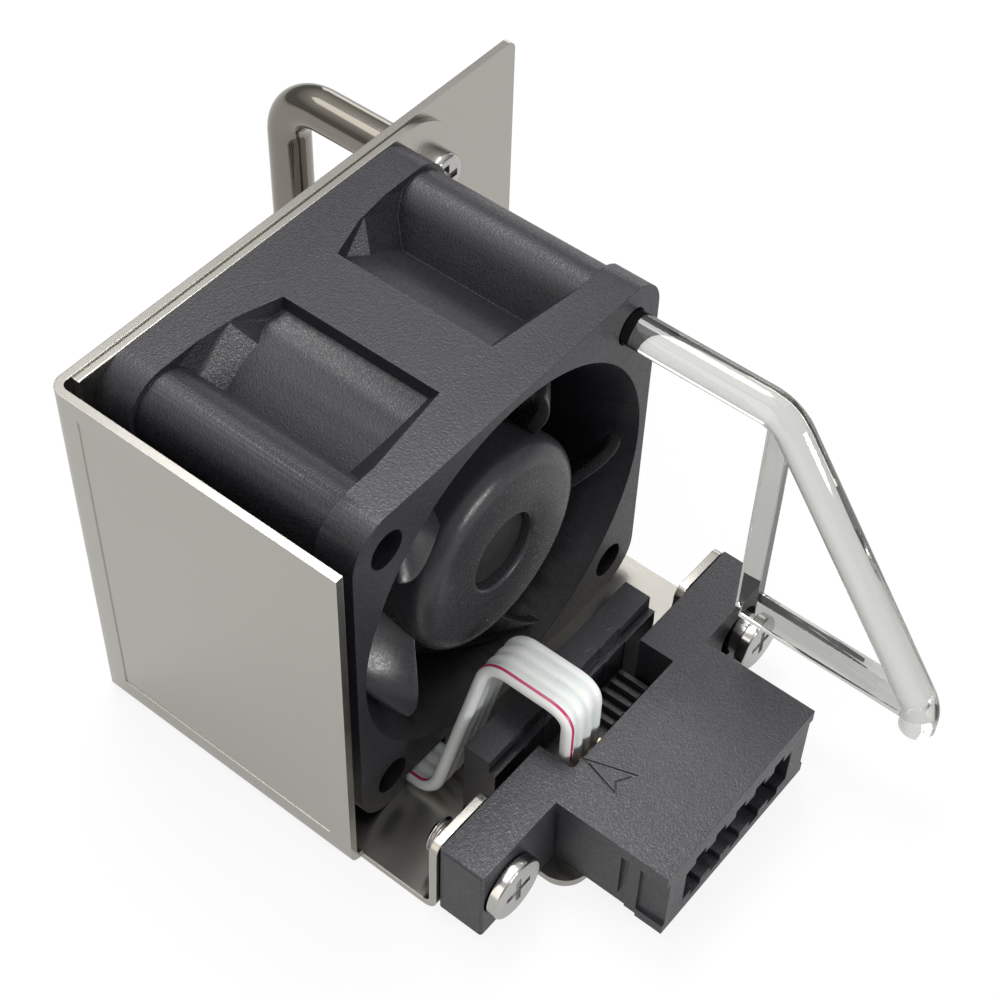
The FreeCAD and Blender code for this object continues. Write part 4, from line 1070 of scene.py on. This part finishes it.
class FANMODULE_OT_stage(bpy.types.Operator):
    """Floor, lamps, world and camera"""
    bl_idname = "fanmodule.stage"
    bl_label = "Stage"

    def execute(self, context):
        scene = context.scene
        scene.view_settings.view_transform = "Standard"
        make_floor()
        make_world(scene)
        make_lamps()
        make_camera(scene)
        return {"FINISHED"}


def make_floor():
    """A plain white floor that fades into the white surround and keeps a soft shadow.

    The eye and clear pieces see it mostly as its own white glow, and mirrors see it a little dimmer.
    """
    eye_share, mirror_share, mirror_glow = 0.86, 0.7, 0.72
    side, drop = 3.0, 0.1 * MM
    corners = [(-side, -side), (side, -side), (side, side), (-side, side)]
    mesh = bpy.data.meshes.new("floor")
    mesh.from_pydata([(x, y, -drop) for x, y in corners], [], [(0, 1, 2, 3)])
    floor = loose("floor", mesh)
    # White paper, matt: it shows only as an even pale ground with a soft shadow
    made, tree = new_material("white_paper_floor")
    ray = add(tree, "ShaderNodeLightPath")
    mirrored = ray.outputs["Is Glossy Ray"]
    seen = ray.outputs["Is Camera Ray"]
    for way in (mirrored, ray.outputs["Is Transmission Ray"]):
        either = add(tree, "ShaderNodeMath", {"operation": "MAXIMUM"}, {0: seen, 1: way})
        seen = either.outputs[0]
    share = add(
        tree, "ShaderNodeMapRange", {"To Min": eye_share, "To Max": mirror_share}, {"Value": mirrored}
    )
    amount = add(tree, "ShaderNodeMath", {"operation": "MULTIPLY"}, {0: seen, 1: share.outputs[0]})
    matte = add(tree, "ShaderNodeBsdfDiffuse", {"Color": linear("#F4F4F4")})
    bright = add(tree, "ShaderNodeMapRange", {"To Min": 1.0, "To Max": mirror_glow}, {"Value": mirrored})
    glow = add(
        tree, "ShaderNodeEmission", {"Color": linear("#FFFFFF")}, {"Strength": bright.outputs[0]}
    )
    both = add(
        tree, "ShaderNodeMixShader", links={0: amount.outputs[0], 1: matte.outputs[0], 2: glow.outputs[0]}
    )
    mesh.materials.append(finished(made, both))


def make_world(scene):
    """White surround: full white to the eye and through clear pieces, and much gentler as a lamp.

    Mirrors see it dim near the horizon and white overhead, as a room with a bright ceiling.
    """
    lamp_level, dim, dim_below, white_above = 0.36, 0.25, 0.3, 0.95
    world = bpy.data.worlds.new("surround")
    scene.world = world
    world.use_nodes = True
    tree = world.node_tree
    tree.nodes.clear()
    ray = add(tree, "ShaderNodeLightPath")
    seen = add(
        tree, "ShaderNodeMath", {"operation": "MAXIMUM"},
        {0: ray.outputs["Is Camera Ray"], 1: ray.outputs["Is Transmission Ray"]},
    )
    where = add(tree, "ShaderNodeTexCoord")
    height = add(tree, "ShaderNodeSeparateXYZ", links={0: where.outputs["Generated"]})
    sky = add(
        tree, "ShaderNodeMapRange",
        {"From Min": dim_below, "From Max": white_above, "To Min": dim, "To Max": 1.0},
        {"Value": height.outputs[2]},
    )
    mirrored = add(
        tree, "ShaderNodeMix", {"data_type": "FLOAT", 2: lamp_level},
        {0: ray.outputs["Is Glossy Ray"], 3: sky.outputs[0]},
    )
    strength = add(
        tree, "ShaderNodeMath", {"operation": "MAXIMUM"}, {0: seen.outputs[0], 1: mirrored.outputs[0]}
    )
    back = add(
        tree, "ShaderNodeBackground", {"Color": linear("#FFFFFF")}, {"Strength": strength.outputs[0]}
    )
    add(tree, "ShaderNodeOutputWorld", links={"Surface": back.outputs[0]})


def lamp(name, place, aim, sides, watts, colour="#FFFFFF"):
    """A rectangular lamp at a place, turned to a point, with its sides in metres."""
    data = bpy.data.lights.new(name, "AREA")
    data.shape = "RECTANGLE"
    data.size, data.size_y = sides
    data.energy = watts
    data.color = linear(colour)[:3]
    made = loose(name, data)
    made.location = place
    made.rotation_euler = (aim - Vector(place)).to_track_quat("-Z", "Y").to_euler()


def make_lamps():
    """A key box above the far corner, a wide lamp overhead, and weaker ones left, in front and behind."""
    middle = Vector((0.0, 0.005, 0.02))
    reach = 0.5
    lamp("key", middle + Vector((-0.24, -0.28, 0.93)) * reach, middle, (0.2, 0.2), 1.3)
    lamp("overhead", (0.1, -0.15, 0.5), middle, (0.4, 0.4), 0.8)
    lamp("left_fill", (0.5, -0.05, 0.2), middle, (0.3, 0.4), 0.65, "#FFF6EC")
    lamp("front_fill", middle + Vector((-0.10, 0.95, 0.29)) * reach, middle, (0.2, 0.1), 1.4)
    lamp("far_rim", middle + Vector((-0.90, -0.39, 0.18)) * reach, middle, (0.3, 0.16), 0.3)


def make_camera(scene):
    """The photograph's viewpoint, solved from the fan's own corners and holes.

    It looks past the middle of the fan's rear face, and stands off from there to the right, upwards
    and back by these millimetres.
    """
    azimuth, elevation, roll = (math.radians(a) for a in (127.10, 49.79, 2.24))
    rightwards, upwards, backwards = 20.98, -8.91, 194.38
    back = Vector((
        math.sin(azimuth) * math.cos(elevation), -math.cos(azimuth) * math.cos(elevation),
        math.sin(elevation),
    ))
    side = Vector((math.cos(azimuth), math.sin(azimuth), 0.0))
    up = back.cross(side)
    right = side * math.cos(roll) + up * math.sin(roll)
    above = up * math.cos(roll) - side * math.sin(roll)
    start = Vector((0.0, -14.0, FAN_MIDDLE))
    centre = start + right * rightwards + above * upwards + back * backwards
    data = bpy.data.cameras.new("camera")
    data.sensor_width = 36.0
    data.lens = scene.fan_sizes.lens
    data.clip_start = 0.01
    eye = loose("camera", data)
    turn = Matrix((right, above, back)).transposed().to_4x4()
    eye.matrix_world = Matrix.Translation(centre * MM) @ turn
    scene.camera = eye


# In the order that they run in
OPERATORS = (
    FANMODULE_OT_stage, FANMODULE_OT_ribbon, FANMODULE_OT_bracket, FANMODULE_OT_handle, FANMODULE_OT_screws,
    FANMODULE_OT_light_pipe, FANMODULE_OT_fan_frame, FANMODULE_OT_impeller, FANMODULE_OT_motor,
    FANMODULE_OT_connector,
)


class FANMODULE_PT_pieces(bpy.types.Panel):
    """Lists the pieces of the fan module"""
    bl_idname = "FANMODULE_PT_pieces"
    bl_label = "Fan module"
    bl_space_type = "VIEW_3D"
    bl_region_type = "UI"
    bl_category = "Fan module"

    def draw(self, context):
        for group in (context.scene.fan_sizes, context.scene.fan_colours):
            for name in group.__annotations__:
                self.layout.prop(group, name)
        for operator in OPERATORS:
            self.layout.operator(operator.bl_idname)


CLASSES = (FanModuleSizes, FanModuleColours, *OPERATORS, FANMODULE_PT_pieces)


def register():
    """Makes the classes and their properties known to Blender."""
    for item in CLASSES:
        bpy.utils.register_class(item)
    bpy.types.Scene.fan_sizes = bpy.props.PointerProperty(type=FanModuleSizes)
    bpy.types.Scene.fan_colours = bpy.props.PointerProperty(type=FanModuleColours)


def unregister():
    """Takes them out again."""
    del bpy.types.Scene.fan_colours
    del bpy.types.Scene.fan_sizes
    for item in reversed(CLASSES):
        bpy.utils.unregister_class(item)


def main():
    """Builds everything."""
    register()
    for operator in OPERATORS:
        getattr(bpy.ops.fanmodule, operator.bl_idname.removeprefix("fanmodule."))()


if __name__ == "__main__":
    main()
